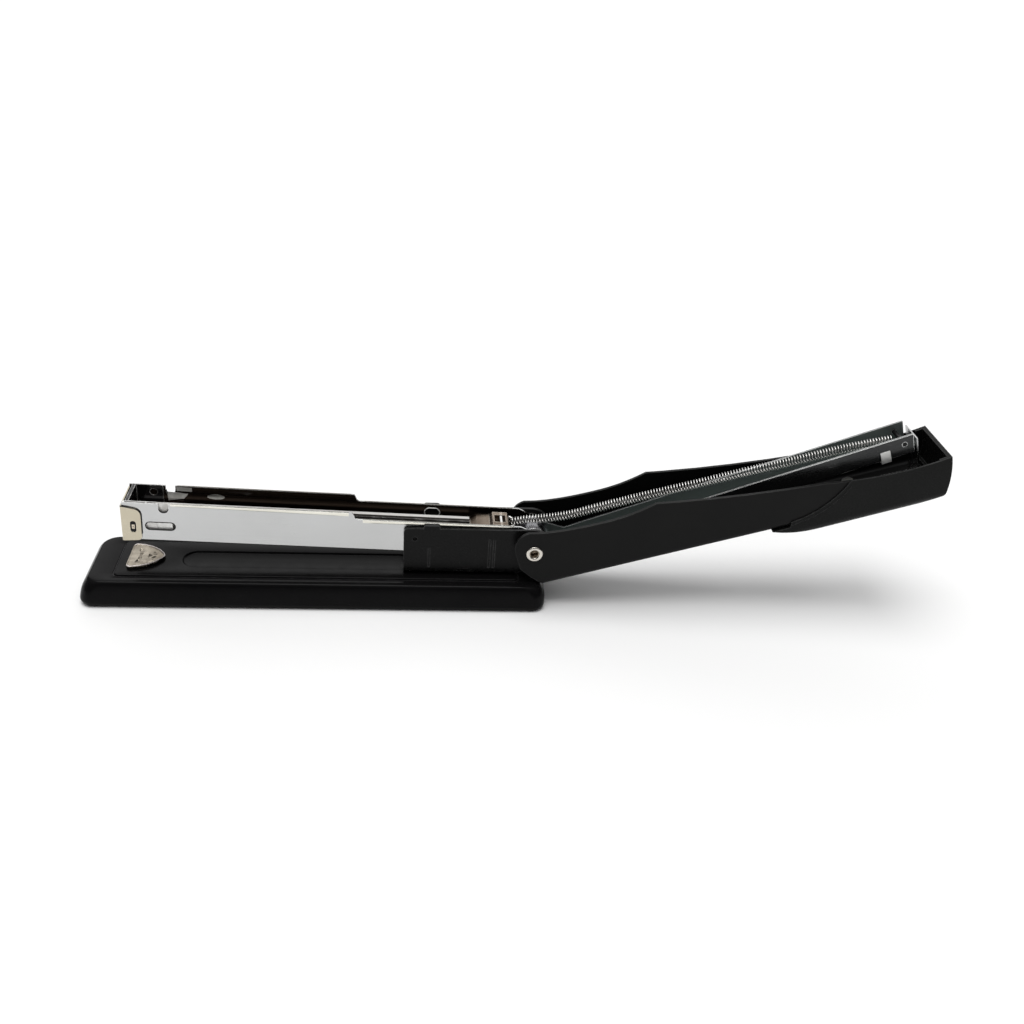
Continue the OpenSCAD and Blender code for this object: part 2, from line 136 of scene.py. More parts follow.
@dataclass(frozen=True)
class RowFrame:
    """The row frame itself, with the same call as a local frame."""

    def place(self, u: np.ndarray, y: np.ndarray, v: np.ndarray) -> np.ndarray:
        """Returns the points (u, y, v) unchanged, along a last axis of three."""
        return np.stack(np.broadcast_arrays(*(np.asarray(part, float) for part in (u, y, v))), -1)


ROW = RowFrame()
MAGAZINE = LocalFrame(-1.86)
HANDLE = LocalFrame(18.02)  # the handle's rims
WEB = LocalFrame(17.12)  # the handle's web, which tapers
CHANNEL = LocalFrame(21.82)


# ---------------------------------------------------------------- shader node helpers


def place_node(tree: bpy.types.NodeTree, kind: str, options: dict | None = None, **sockets) -> bpy.types.Node:
    """Adds a shader node, sets its options and feeds its inputs.

    Args:
        tree: The node tree to add to.
        kind: The node's type without the ShaderNode prefix.
        options: Attributes of the node, such as its operation.
        sockets: Values or output sockets by input name, with underscores for spaces.

    Returns:
        The new node.
    """
    node = tree.nodes.new("ShaderNode" + kind)
    for key, value in (options or {}).items():
        setattr(node, key, value)
    for key, value in sockets.items():
        feed(tree, node.inputs[key.replace("_", " ")], value)
    return node


def feed(tree: bpy.types.NodeTree, socket: bpy.types.NodeSocket, value: object) -> None:
    """Links an output socket into an input, or sets the input's own value."""
    if isinstance(value, bpy.types.NodeSocket):
        tree.links.new(value, socket)
    else:
        socket.default_value = value


def calc(tree: bpy.types.NodeTree, operation: str, *values, clamp: bool = False) -> bpy.types.NodeSocket:
    """Adds a Math node over the given values or sockets and returns its result."""
    node = place_node(tree, "Math", {"operation": operation, "use_clamp": clamp})
    for socket, value in zip(node.inputs, values):
        feed(tree, socket, value)
    return node.outputs[0]


def tint(tree: bpy.types.NodeTree, factor: object, a: object, b: object) -> bpy.types.NodeSocket:
    """Adds a colour mix from a to b and returns its result."""
    node = place_node(tree, "Mix", {"data_type": "RGBA"})
    for index, value in ((0, factor), (6, a), (7, b)):
        feed(tree, node.inputs[index], value)
    return node.outputs[2]


def ramp(tree: bpy.types.NodeTree, value: object, low: float, high: float) -> bpy.types.NodeSocket:
    """Adds a smooth step of a value from low to high and returns it, 0 to 1."""
    smooth = {"interpolation_type": "SMOOTHSTEP"}
    return place_node(tree, "MapRange", smooth, Value=value, From_Min=low, From_Max=high).outputs[0]


def object_point(tree: bpy.types.NodeTree) -> bpy.types.NodeSocket:
    """Adds the point of the surface in the row frame, in metres, and returns it."""
    return place_node(tree, "TexCoord").outputs["Object"]


def put_out_mask(tree: bpy.types.NodeTree, entry: bpy.types.Node, out: bpy.types.Node, mask: object) -> None:
    """Links a mask times the group's Amount, held within 0 and 1, to its Mask output."""
    tree.links.new(calc(tree, "MULTIPLY", mask, entry.outputs["Amount"], clamp=True), out.inputs["Mask"])


def open_group(name: str, inputs: dict, outputs: tuple) -> tuple:
    """Starts a shader node group.

    Args:
        name: The group's name.
        inputs: Default values by socket name; a tuple makes a vector socket.
        outputs: Names of the value sockets that it puts out.

    Returns:
        The tree, its input node and its output node.
    """
    tree = bpy.data.node_groups.new(name, "ShaderNodeTree")
    for key, value in inputs.items():
        kind = "NodeSocketVector" if isinstance(value, tuple) else "NodeSocketFloat"
        tree.interface.new_socket(key, in_out="INPUT", socket_type=kind).default_value = value
    for key in outputs:
        tree.interface.new_socket(key, in_out="OUTPUT", socket_type="NodeSocketFloat")
    return tree, tree.nodes.new("NodeGroupInput"), tree.nodes.new("NodeGroupOutput")


def fine_grain() -> bpy.types.NodeTree:
    """Builds the grain of paint, plating or moulded plastic: Height, slow Mottle and mid-size Cloud."""
    tree, entry, out = open_group("fine_grain", {"Scale": 900.0}, ("Height", "Mottle", "Cloud"))
    point = object_point(tree)
    fine = place_node(tree, "TexNoise", Vector=point, Scale=entry.outputs["Scale"], Detail=3.0, Roughness=0.6)
    tree.links.new(fine.outputs["Fac"], out.inputs["Height"])
    for name, share, low, high in (("Mottle", 0.02, 0.3, 0.7), ("Cloud", 0.12, 0.35, 0.65)):
        scale = calc(tree, "MULTIPLY", entry.outputs["Scale"], share)
        slow = place_node(tree, "TexNoise", Vector=point, Scale=scale, Detail=3.0)
        tree.links.new(ramp(tree, slow.outputs["Fac"], low, high), out.inputs[name])
    return tree


def brush_lines() -> bpy.types.NodeTree:
    """Builds rolling or brushing marks: noise drawn out along one direction of the sheet."""
    inputs = {"Turn": (0.0, 0.0, 0.0), "Stretch": (18.0, 1500.0, 1500.0)}
    tree, entry, out = open_group("brush_lines", inputs, ("Height", "Streak"))
    point = object_point(tree)
    turned = place_node(tree, "Mapping", Vector=point, Rotation=entry.outputs["Turn"])
    drawn = place_node(tree, "VectorMath", {"operation": "MULTIPLY"})
    feed(tree, drawn.inputs[0], turned.outputs[0])
    feed(tree, drawn.inputs[1], entry.outputs["Stretch"])
    noise = place_node(tree, "TexNoise", Vector=drawn.outputs[0], Scale=1.0, Detail=3.0, Roughness=0.6)
    tree.links.new(noise.outputs["Fac"], out.inputs["Height"])
    tree.links.new(ramp(tree, noise.outputs["Fac"], 0.35, 0.65), out.inputs["Streak"])
    return tree


def edge_wear_and_highlight() -> bpy.types.NodeTree:
    """Builds a mask of edges, for rubbed edges and for painted highlight lines along edges: where a rounded
    normal leaves the face's own, broken up by noise.
    """
    tree, entry, out = open_group("edge_wear_and_highlight", {"Amount": 0.5, "Reach": 0.0006, "Breaks": 1.0}, ("Mask",))
    rounded = place_node(tree, "Bevel", {"samples": 6}, Radius=entry.outputs["Reach"])
    plain = place_node(tree, "NewGeometry").outputs["Normal"]
    dot = place_node(tree, "VectorMath", {"operation": "DOT_PRODUCT"})
    feed(tree, dot.inputs[0], rounded.outputs[0])
    feed(tree, dot.inputs[1], plain)
    edge = ramp(tree, dot.outputs["Value"], 0.998, 0.9)
    point = object_point(tree)
    noise = place_node(tree, "TexNoise", Vector=point, Scale=240.0, Detail=4.0)
    patches = ramp(tree, noise.outputs["Fac"], 0.42, 0.62)
    lost = calc(tree, "MULTIPLY", calc(tree, "SUBTRACT", 1.0, patches), entry.outputs["Breaks"])
    put_out_mask(tree, entry, out, calc(tree, "MULTIPLY", edge, calc(tree, "SUBTRACT", 1.0, lost)))
    return tree


def settled_dust() -> bpy.types.NodeTree:
    """Builds a mask of dust: faces that look up, broken up by two sizes of noise."""
    tree, entry, out = open_group("settled_dust", {"Amount": 0.1}, ("Mask",))
    normal = place_node(tree, "NewGeometry").outputs["Normal"]
    up = place_node(tree, "SeparateXYZ", Vector=normal).outputs["Z"]
    point = object_point(tree)
    film = place_node(tree, "TexNoise", Vector=point, Scale=60.0, Detail=6.0, Roughness=0.7)
    specks = place_node(tree, "TexNoise", Vector=point, Scale=2600.0, Detail=1.0)
    spots = ramp(tree, specks.outputs["Fac"], 0.66, 0.74)
    mix = calc(tree, "ADD", calc(tree, "MULTIPLY", film.outputs["Fac"], 0.6), spots)
    put_out_mask(tree, entry, out, calc(tree, "MULTIPLY", mix, ramp(tree, up, 0.2, 0.95)))
    return tree


def hair_scratches() -> bpy.types.NodeTree:
    """Builds hairline scratches: thin bands where a stretched noise passes its middle value."""
    tree, entry, out = open_group("hair_scratches", {"Turn": (0.0, 0.4, 0.0), "Amount": 0.3}, ("Mask",))
    point = object_point(tree)
    drawn = (12.0, 140.0, 140.0)
    turned = place_node(tree, "Mapping", Vector=point, Rotation=entry.outputs["Turn"], Scale=drawn)
    noise = place_node(tree, "TexNoise", Vector=turned.outputs[0], Scale=1.0, Detail=2.0, Distortion=0.8)
    offset = calc(tree, "ABSOLUTE", calc(tree, "SUBTRACT", noise.outputs["Fac"], 0.5))
    line = ramp(tree, offset, 0.006, 0.001)
    breaks = place_node(tree, "TexNoise", Vector=point, Scale=90.0, Detail=2.0)
    put_out_mask(tree, entry, out, calc(tree, "MULTIPLY", line, ramp(tree, breaks.outputs["Fac"], 0.5, 0.6)))
    return tree


class Effects:
    """The shared effects, each built on first use."""

    makers = {
        "fine_grain": fine_grain,
        "brush_lines": brush_lines,
        "edge_wear_and_highlight": edge_wear_and_highlight,
        "settled_dust": settled_dust,
        "hair_scratches": hair_scratches,
    }

    def __init__(self) -> None:
        """Starts with no group built."""
        self.built: dict[str, bpy.types.NodeTree] = {}

    def put(self, tree: bpy.types.NodeTree, name: str, **values) -> bpy.types.Node:
        """Places an effect in a material with its own values.

        Args:
            tree: The material's node tree.
            name: The effect's name in makers.
            values: Its input values by socket name.

        Returns:
            The group node.
        """
        if name not in self.built:
            self.built[name] = self.makers[name]()
        return place_node(tree, "Group", {"node_tree": self.built[name]}, **values)


EFFECTS = Effects()


# ---------------------------------------------------------------- finishes


class Lay(Enum):
    """Direction of the marks that rolling or brushing left in a sheet."""

    NONE = None
    LENGTHWISE = (18.0, 1500.0, 1500.0)
    UPRIGHT = (1500.0, 1500.0, 40.0)


Colour = tuple[float, float, float]


@dataclass(frozen=True)
class Finish:
    """One finish and how it shows.

    Attributes:
        slot: The record's material slot.
        colour: Base colour.
        shade: Colour that the mottling drifts to.
        rough: Roughness.
        rough_drift: How far the roughness wanders over the surface.
        metal: 1 for bare or plated metal, 0 for paint, rubber and plastic.
        specular: Specular level of a painted surface.
        grain: Grain scale, per metre.
        grain_depth: Height of the grain, in millimetres.
        lay: Direction of brushing marks.
        lay_depth: Height of those marks, in millimetres.
        tilt: Lift angle of the sheet that the marks follow, in degrees.
        wear_and_highlight: Strength of the edge mark, which is rubbing and, where its colour is lighter, a
            painted highlight along the edges.
        breaks: How far noise breaks up those edges, 0 to 1.
        wear_and_highlight_colour: Colour of the edge mark; where it is lighter than the surface it is a
            painted highlight.
        wear_and_highlight_metal: True where the edge mark turns metallic, as in the channel's painted bright
            edge lines.
        dust: Strength of settled dust.
        scratches: Strength of hairline scratches.
        painted_inner_half: Half width within which the faces look inward, in millimetres, where light and
            shade are painted by side; 0 for none.
        painted_inner_colour: Colour of those inner faces: painted shade darker than the outer faces on most
            finishes, a lit lighter copy on the channel.
        painted_inner_rough: Roughness of those inner faces.
        tone: Word that tells apart two finishes of one slot.
    """

    slot: str
    colour: Colour
    shade: Colour
    rough: float
    rough_drift: float = 0.06
    metal: float = 0.0
    specular: float = 0.5
    grain: float = 900.0
    grain_depth: float = 0.01
    lay: Lay = Lay.NONE
    lay_depth: float = 0.004
    tilt: float = 0.0
    wear_and_highlight: float = 0.0
    breaks: float = 0.8
    wear_and_highlight_colour: Colour = (0.35, 0.34, 0.33)
    wear_and_highlight_metal: bool = False
    dust: float = 0.0
    scratches: float = 0.0
    painted_inner_half: float = 0.0
    painted_inner_colour: Colour = (0.02, 0.016, 0.012)
    painted_inner_rough: float = 0.3
    tone: str = ""

    def material(self) -> bpy.types.Material:
        """Returns the finish as a material, made once and then shared."""
        name = f"{self.slot}_{self.tone or 'finish'}"
        found = bpy.data.materials.get(name)
        if found:
            return found
        made = bpy.data.materials.new(name)
        made.use_nodes = True
        tree = made.node_tree
        shader = tree.nodes["Principled BSDF"]
        grain = EFFECTS.put(tree, "fine_grain", Scale=self.grain)
        colour = tint(tree, grain.outputs["Mottle"], (*self.colour, 1), (*self.shade, 1))
        drift = calc(tree, "MULTIPLY", calc(tree, "SUBTRACT", grain.outputs["Cloud"], 0.5), self.rough_drift)
        rough = calc(tree, "ADD", drift, self.rough)
        metal: object = self.metal
        # painted light and shade: the inner faces get their own darker or lighter tone
        if self.painted_inner_half:
            colour, rough = self.paint_inner_light(tree, colour, rough)
        heights = [(grain.outputs["Height"], self.grain_depth)]
        if self.lay is not Lay.NONE:
            turn = (0.0, math.radians(self.tilt), 0.0)
            marks = EFFECTS.put(tree, "brush_lines", Turn=turn, Stretch=self.lay.value)
            heights.append((marks.outputs["Height"], self.lay_depth))
            streak = calc(tree, "MULTIPLY", calc(tree, "SUBTRACT", marks.outputs["Streak"], 0.5), 0.08)
            rough = calc(tree, "ADD", rough, streak)
        if self.scratches:
            lines = EFFECTS.put(tree, "hair_scratches", Amount=self.scratches).outputs[0]
            rough = calc(tree, "ADD", rough, calc(tree, "MULTIPLY", lines, 0.3))
            colour = tint(tree, calc(tree, "MULTIPLY", lines, 0.5), colour, (*self.wear_and_highlight_colour, 1))
        # edge mark: rubbing, and with a lighter colour a painted highlight along the edges
        if self.wear_and_highlight:
            worn_and_lit = EFFECTS.put(tree, "edge_wear_and_highlight", Amount=self.wear_and_highlight, Breaks=self.breaks).outputs[0]
            colour = tint(tree, worn_and_lit, colour, (*self.wear_and_highlight_colour, 1))
            metal = calc(tree, "MAXIMUM", worn_and_lit, self.metal) if self.wear_and_highlight_metal else metal
        if self.dust:
            film = EFFECTS.put(tree, "settled_dust", Amount=self.dust).outputs[0]
            colour = tint(tree, film, colour, (0.3, 0.29, 0.27, 1))
            rough = calc(tree, "ADD", rough, calc(tree, "MULTIPLY", film, 0.5), clamp=True)
        feed(tree, shader.inputs["Base Color"], colour)
        feed(tree, shader.inputs["Roughness"], rough)
        feed(tree, shader.inputs["Metallic"], metal)
        shader.inputs["Specular IOR Level"].default_value = self.specular
        normal = None
        for height, depth in heights:
            bump = place_node(tree, "Bump", Height=height, Distance=depth * MM, Strength=1.0)
            if normal is not None:
                feed(tree, bump.inputs["Normal"], normal)
            normal = bump.outputs[0]
        feed(tree, shader.inputs["Normal"], normal)
        return made

    def paint_inner_light(self, tree: bpy.types.NodeTree, colour: object, rough: object) -> tuple:
        """Paints light and shade by side: the faces within painted_inner_half of the middle plane get their
        own colour and roughness, a shaded copy of the finish on most pieces and a lit copy on the channel.
        """
        point = object_point(tree)
        side = place_node(tree, "SeparateXYZ", Vector=point).outputs["Y"]
        reach = self.painted_inner_half * MM
        inside = ramp(tree, calc(tree, "ABSOLUTE", side), reach + 0.0001, reach - 0.0001)
        lit_and_shaded = tint(tree, inside, colour, (*self.painted_inner_colour, 1))
        change = calc(tree, "MULTIPLY", calc(tree, "SUBTRACT", self.painted_inner_rough, rough), inside)
        return lit_and_shaded, calc(tree, "ADD", rough, change)


# Black base enamel; its light edge mark is a painted highlight along the shoulders, panel edges and groove.
BASE_ENAMEL = Finish("black_enamel", (0.0030, 0.0029, 0.0032), (0.0040, 0.0038, 0.0041), 0.24,
    specular=0.075, grain=1400, grain_depth=0.005, wear_and_highlight=0.9, breaks=0.35, wear_and_highlight_colour=(0.055, 0.052, 0.055),
    dust=0.012)
# Bracket enamel; its light edge mark is a painted highlight along the edges and pressed grooves.
BRACKET_ENAMEL = Finish("bracket_enamel", (0.0062, 0.0062, 0.0062), (0.0078, 0.0078, 0.0078), 0.29,
    specular=0.1, grain=1800, grain_depth=0.007, wear_and_highlight=0.9, breaks=0.4, wear_and_highlight_colour=(0.07, 0.07, 0.07),
    dust=0.012)
# Handle enamel; the light edge mark is a painted highlight on the rims, and the darker inner faces are
# painted shade within the shell.
HANDLE_ENAMEL = Finish("handle_enamel", (0.0068, 0.0068, 0.0068), (0.0082, 0.0082, 0.0080), 0.33,
    specular=0.095, grain=2000, grain_depth=0.008, wear_and_highlight=0.7, breaks=0.5, wear_and_highlight_colour=(0.07, 0.07, 0.07),
    dust=0.01, painted_inner_half=12.6, painted_inner_colour=(0.0035, 0.0035, 0.0035), painted_inner_rough=0.5)
# Cap plastic; its light edge mark is a painted highlight on the cap's rim and seam.
CAP_PLASTIC = Finish("cap_plastic", (0.0066, 0.0068, 0.0065), (0.0080, 0.0082, 0.0080), 0.28,
    specular=0.095, grain=2600, grain_depth=0.012, wear_and_highlight=0.8, breaks=0.4, wear_and_highlight_colour=(0.07, 0.07, 0.07),
    dust=0.01)
PAD_RUBBER = Finish("pad_rubber", (0.012, 0.012, 0.012), (0.02, 0.02, 0.02), 0.85,
    specular=0.3, grain=1200, grain_depth=0.05, dust=0.1)
# Magazine chrome; the dark brown inner faces are painted shade within the magazine.
CHROME = Finish("magazine_chrome", (0.545, 0.55, 0.55), (0.515, 0.518, 0.516), 0.2,
    metal=1.0, grain_depth=0.002, lay=Lay.LENGTHWISE, lay_depth=0.0016, tilt=MAGAZINE.lift, scratches=0.25,
    wear_and_highlight=0.5, breaks=0.2, wear_and_highlight_colour=(0.75, 0.74, 0.71), painted_inner_half=7.35,
    painted_inner_colour=(0.030, 0.022, 0.017), painted_inner_rough=0.26)
# A lighter copy of the magazine chrome, a painted highlight along the walls' rolled top edges.
LIP_CHROME_HIGHLIGHT = Finish("magazine_chrome", (0.82, 0.80, 0.72), (0.72, 0.70, 0.62), 0.16,
    metal=1.0, grain_depth=0.003, lay=Lay.LENGTHWISE, lay_depth=0.002, tilt=MAGAZINE.lift, wear_and_highlight=0.4,
    wear_and_highlight_colour=(0.9, 0.89, 0.85), tone="lip_highlight")
CREAM_NICKEL = Finish("guard_nickel", (0.60, 0.55, 0.435), (0.55, 0.50, 0.39), 0.3,
    metal=1.0, grain=1500, grain_depth=0.004, wear_and_highlight=0.3, wear_and_highlight_colour=(0.85, 0.8, 0.68))
ANVIL_NICKEL = Finish("anvil_nickel", (0.21, 0.18, 0.14), (0.38, 0.34, 0.28), 0.28,
    rough_drift=0.25, metal=1.0, grain=3600, grain_depth=0.02, wear_and_highlight=0.35, breaks=0.6,
    wear_and_highlight_colour=(0.85, 0.8, 0.76))
# A lighter, less metallic copy of the anvil nickel, a painted highlight on the rolled rim.
ANVIL_RIM_HIGHLIGHT = Finish("anvil_nickel", (0.85, 0.79, 0.77), (0.66, 0.6, 0.57), 0.35,
    metal=0.35, grain=2600, grain_depth=0.02, tone="rim")
# Rail steel: the near-white, mostly diffuse colour paints its steel's bright reflections as light, and the
# faces within the slot get painted shade.
RAIL_STEEL = Finish("rail_steel", (0.86, 0.85, 0.82), (0.8, 0.78, 0.75), 0.32,
    metal=0.25, grain_depth=0.003, lay=Lay.LENGTHWISE, tilt=MAGAZINE.lift, wear_and_highlight=0.6,
    wear_and_highlight_colour=(0.9, 0.89, 0.86), painted_inner_half=3.3, painted_inner_colour=(0.02, 0.017, 0.014))
# Nose lining: the dark colour of the inner faces is its blued black; the light outer faces and bright edge
# mark are painted glints.
NOSE_BLUED_GLINTS = Finish("blued_steel", (0.75, 0.74, 0.72), (0.6, 0.59, 0.57), 0.3,
    metal=0.5, grain_depth=0.02, wear_and_highlight=1.0, breaks=0.75, wear_and_highlight_colour=(0.85, 0.84, 0.82),
    painted_inner_half=6.98, painted_inner_colour=(0.014, 0.013, 0.014), painted_inner_rough=0.14)
# Matte black for wires and plates that paint shade in the guard's gaps and along the side openings.
SHADE_BLACK = Finish("blued_steel", (0.004, 0.004, 0.004), (0.008, 0.008, 0.008), 0.3,
    specular=0.2, grain=1500, tone="gap")
TAB_STEEL = Finish("blade_steel", (0.62, 0.61, 0.58), (0.4, 0.39, 0.37), 0.42,
    metal=0.7, grain=2200, wear_and_highlight=0.7, wear_and_highlight_colour=(0.9, 0.9, 0.88), tone="tab")
CLIP_STEEL = Finish("blade_steel", (0.85, 0.85, 0.83), (0.7, 0.7, 0.68), 0.35,
    metal=0.6, grain=1800, grain_depth=0.006, wear_and_highlight=0.5, wear_and_highlight_colour=(0.95, 0.95, 0.93), tone="clip")
BLADE_STEEL = Finish("blade_steel", (0.5, 0.5, 0.5), (0.42, 0.42, 0.42), 0.25,
    metal=1.0, grain=1100, grain_depth=0.004, lay=Lay.UPRIGHT, wear_and_highlight=0.4, wear_and_highlight_colour=(0.8, 0.8, 0.8))
# Channel steel: the dark outer colour is a painted reflection of the handle's dark inside, the lighter
# grey-green inner faces are a lit copy, and the bright, nearly unbroken edge mark is a painted highlight
# line.
CHANNEL_STEEL = Finish("channel_steel", (0.030, 0.031, 0.032), (0.045, 0.046, 0.046), 0.24,
    metal=0.7, grain=700, grain_depth=0.005, lay=Lay.LENGTHWISE, lay_depth=0.003, tilt=CHANNEL.lift,
    wear_and_highlight=1.0, breaks=0.15, wear_and_highlight_colour=(0.85, 0.86, 0.85), wear_and_highlight_metal=True, scratches=0.3,
    painted_inner_half=5.75, painted_inner_colour=(0.21, 0.238, 0.23), painted_inner_rough=0.42)
# The anchor pin in the same black: painted shade, so that it sits in the channel's shade.
PIN_SHADE_BLACK = replace(SHADE_BLACK, slot="channel_steel", tone="pin")
# Follower bronze; its light edge mark paints highlight lines on the top edges.
PUSHER_BRONZE = Finish("pusher_bronze", (0.26, 0.21, 0.165), (0.09, 0.065, 0.045), 0.24,
    metal=1.0, grain=2600, grain_depth=0.05, wear_and_highlight=1.0, breaks=0.5, wear_and_highlight_colour=(0.75, 0.68, 0.6))
RIVET_BRONZE = Finish("pusher_bronze", (0.16, 0.115, 0.08), (0.08, 0.06, 0.04), 0.3,
    metal=0.9, grain=2600, grain_depth=0.05, wear_and_highlight=1.0, wear_and_highlight_colour=(0.7, 0.62, 0.5), tone="rivet")
SPRING_WIRE = Finish("spring_wire", (0.74, 0.73, 0.71), (0.6, 0.59, 0.57), 0.18,
    metal=1.0, grain=4000, grain_depth=0.002)
# Spring steel; its bright, nearly unbroken edge mark is a painted highlight.
SPRING_STEEL = Finish("spring_steel", (0.30, 0.30, 0.31), (0.2, 0.2, 0.21), 0.22,
    metal=1.0, grain=1100, grain_depth=0.004, wear_and_highlight=1.0, breaks=0.1, wear_and_highlight_colour=(0.85, 0.85, 0.84))
RIVET_NICKEL = Finish("nickel_rivet", (0.72, 0.69, 0.64), (0.62, 0.58, 0.52), 0.24,
    metal=1.0, grain=1800, grain_depth=0.006)
ZINC_STEEL = Finish("zinc_steel", (0.5, 0.5, 0.48), (0.4, 0.4, 0.37), 0.35,
    metal=1.0, grain=1600, wear_and_highlight=0.4, wear_and_highlight_colour=(0.75, 0.75, 0.72))


# ---------------------------------------------------------------- mesh helpers


class Skin:
    """Grids of points and flat caps that together make one closed mesh."""

    def __init__(self) -> None:
        """Starts empty."""
        self.points: list[np.ndarray] = []
        self.faces: list[list[int]] = []
        self.count = 0

    def add_points(self, points: np.ndarray) -> np.ndarray:
        """Adds points of any grid shape and returns their numbers in that shape."""
        shape = points.shape[:-1]
        numbers = self.count + np.arange(int(np.prod(shape))).reshape(shape)
        self.points.append(points.reshape(-1, 3))
        self.count += numbers.size
        return numbers

    def grid(self, points: np.ndarray, wrap: bool = False, wrap_rows: bool = False) -> "Skin":
        """Adds a grid of quads.

        Args:
            points: Rows by columns by three.
            wrap: True where each row closes on itself.
            wrap_rows: True where the last row joins the first.

        Returns:
            This skin, so that calls can follow each other.
        """
        number = self.add_points(points)
        if wrap:
            number = np.concatenate([number, number[:, :1]], 1)
        if wrap_rows:
            number = np.concatenate([number, number[:1]], 0)
        quads = np.stack([number[:-1, :-1], number[:-1, 1:], number[1:, 1:], number[1:, :-1]], -1)
        self.faces += quads.reshape(-1, 4).tolist()
        return self

    def cap(self, ring: np.ndarray) -> "Skin":
        """Adds one flat face over a ring of points."""
        self.faces.append(self.add_points(ring).tolist())
        return self

    def loop(self, rings: np.ndarray) -> "Skin":
        """Adds rings whose last joins the first, as round a closed wire."""
        return self.grid(rings, wrap=True, wrap_rows=True)

    def join(self, other: "Skin") -> "Skin":
        """Adds another skin's points and faces."""
        self.faces += [[number + self.count for number in face] for face in other.faces]
        self.points += other.points
        self.count += other.count
        return self

    def tube(self, rings: np.ndarray) -> "Skin":
        """Adds rings joined into a closed tube with a flat cap at each end."""
        return self.grid(rings, wrap=True).cap(rings[0]).cap(rings[-1])

    def mesh(self, name: str, sharp: float = SHARP) -> bpy.types.Object:
        """Makes the object, with doubles merged and faces turned outward.

        Args:
            name: The piece's name.
            sharp: Edges that turn by more than this angle stay crisp.

        Returns:
            The new object, linked to the scene.
        """
        data = bpy.data.meshes.new(name)
        data.from_pydata((np.concatenate(self.points) * MM).tolist(), [], self.faces)
        return finish_mesh(name, data, sharp)


def finish_mesh(name: str, data: bpy.types.Mesh, sharp: float) -> bpy.types.Object:
    """Merges doubles, turns faces outward, smooths, and links the mesh as an object."""
    work = bmesh.new()
    work.from_mesh(data)
    bmesh.ops.remove_doubles(work, verts=work.verts, dist=MERGE)
    bmesh.ops.dissolve_degenerate(work, edges=work.edges, dist=MERGE)
    bmesh.ops.recalc_face_normals(work, faces=work.faces)
    work.to_mesh(data)
    work.free()
    data.polygons.foreach_set("use_smooth", np.ones(len(data.polygons), bool))
    data.set_sharp_from_angle(angle=sharp)
    made = bpy.data.objects.new(name, data)
    bpy.context.scene.collection.objects.link(made)
    return made


def dress(piece: bpy.types.Object, finish: Finish) -> bpy.types.Object:
    """Gives a piece one finish and names the record's slot."""
    piece.data.materials.clear()
    piece.data.materials.append(finish.material())
    return piece


def settle(piece: bpy.types.Object, body: str, finish: Finish, *nodes: str) -> bpy.types.Object:
    """Dresses a new piece, puts it on its body and lets it stand for CAD nodes.

    Args:
        piece: The new piece.
        body: The CAD body that it rides on.
        finish: Its finish.
        nodes: The CAD nodes that it stands for.

    Returns:
        The piece.
    """
    dress(piece, finish)
    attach(piece, body)
    if nodes:
        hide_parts(*nodes)
    log.info("%s rides on %s, %d faces", piece.name, body, len(piece.data.polygons))
    return piece


def crisp_edges(piece: bpy.types.Object, radius: float, steps: int = 3) -> bpy.types.Object:
    """Rounds a piece's hard edges with a Bevel and keeps its flats flat with weighted normals."""
    edge = piece.modifiers.new("rounded_edges", "BEVEL")
    edge.width = radius * MM
    edge.segments = steps
    edge.limit_method = "ANGLE"
    edge.angle_limit = math.radians(28)
    edge.use_clamp_overlap = True
    flat = piece.modifiers.new("flat_faces", "WEIGHTED_NORMAL")
    flat.keep_sharp = True
    return piece


def softened(node: str, finish: Finish, radius: float = 0.15) -> bpy.types.Object:
    """Rebuilds a CAD node as a clean mesh with rounded edges.

    The node's triangles are copied, merged and joined into whole faces, then bevelled.

    Args:
        node: The CAD node, which the new piece stands for.
        finish: Its finish.
        radius: Edge radius in millimetres.

    Returns:
        The new piece.
    """
    source = frame["nodes"][node]
    data = source.data.copy()
    work = bmesh.new()
    work.from_mesh(data)
    bmesh.ops.remove_doubles(work, verts=work.verts, dist=MERGE)
    bmesh.ops.dissolve_limit(work, angle_limit=math.radians(1), verts=work.verts, edges=work.edges)
    work.to_mesh(data)
    work.free()
    piece = finish_mesh(node + "_finished", data, SHARP)
    crisp_edges(piece, radius)
    return settle(piece, source["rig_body"], finish, node)


def soften_all(rows: tuple) -> None:
    """Softens one CAD node for each row of (node, finish, edge radius)."""
    for node, finish, radius in rows:
        softened(node, finish, radius)


def unit(rows: np.ndarray) -> np.ndarray:
    """Returns the rows scaled to a length of one."""
    return rows / np.linalg.norm(rows, axis=1, keepdims=True)


def once_round(steps: int) -> np.ndarray:
    """Returns evenly spaced angles once round, the last left out."""
    return np.linspace(0, 2 * math.pi, steps, endpoint=False)


def rounded_ring(x0: float, x1: float, half: float, r: float, steps: int = 10) -> np.ndarray:
    """Points round a rectangle with round corners, seen from above.

    Each corner is a quarter circle of radius r about a centre r inside both sides.

    Args:
        x0: Front edge.
        x1: Rear edge.
        half: Half width.
        r: Corner radius.
        steps: Segments in each corner.

    Returns:
        Points by two, anticlockwise from the rear right corner.
    """
    angle = np.linspace(0, math.pi / 2, steps + 1)[None, :] + (math.pi / 2) * np.arange(4)[:, None]
    centre_x = np.array([x1 - r, x0 + r, x0 + r, x1 - r])[:, None]
    centre_y = np.array([half - r, half - r, r - half, r - half])[:, None]
    ring = np.stack([centre_x + r * np.cos(angle), centre_y + r * np.sin(angle)], -1)
    return ring.reshape(-1, 2)


def ring_stack(levels: np.ndarray) -> np.ndarray:
    """Stacks rounded rectangles, one for each row of (z, x0, x1, half width, corner radius)."""
    rings = np.stack([rounded_ring(*level[1:]) for level in levels])
    height = np.broadcast_to(levels[:, :1], rings.shape[:2])
    return np.concatenate([rings, height[..., None]], -1)


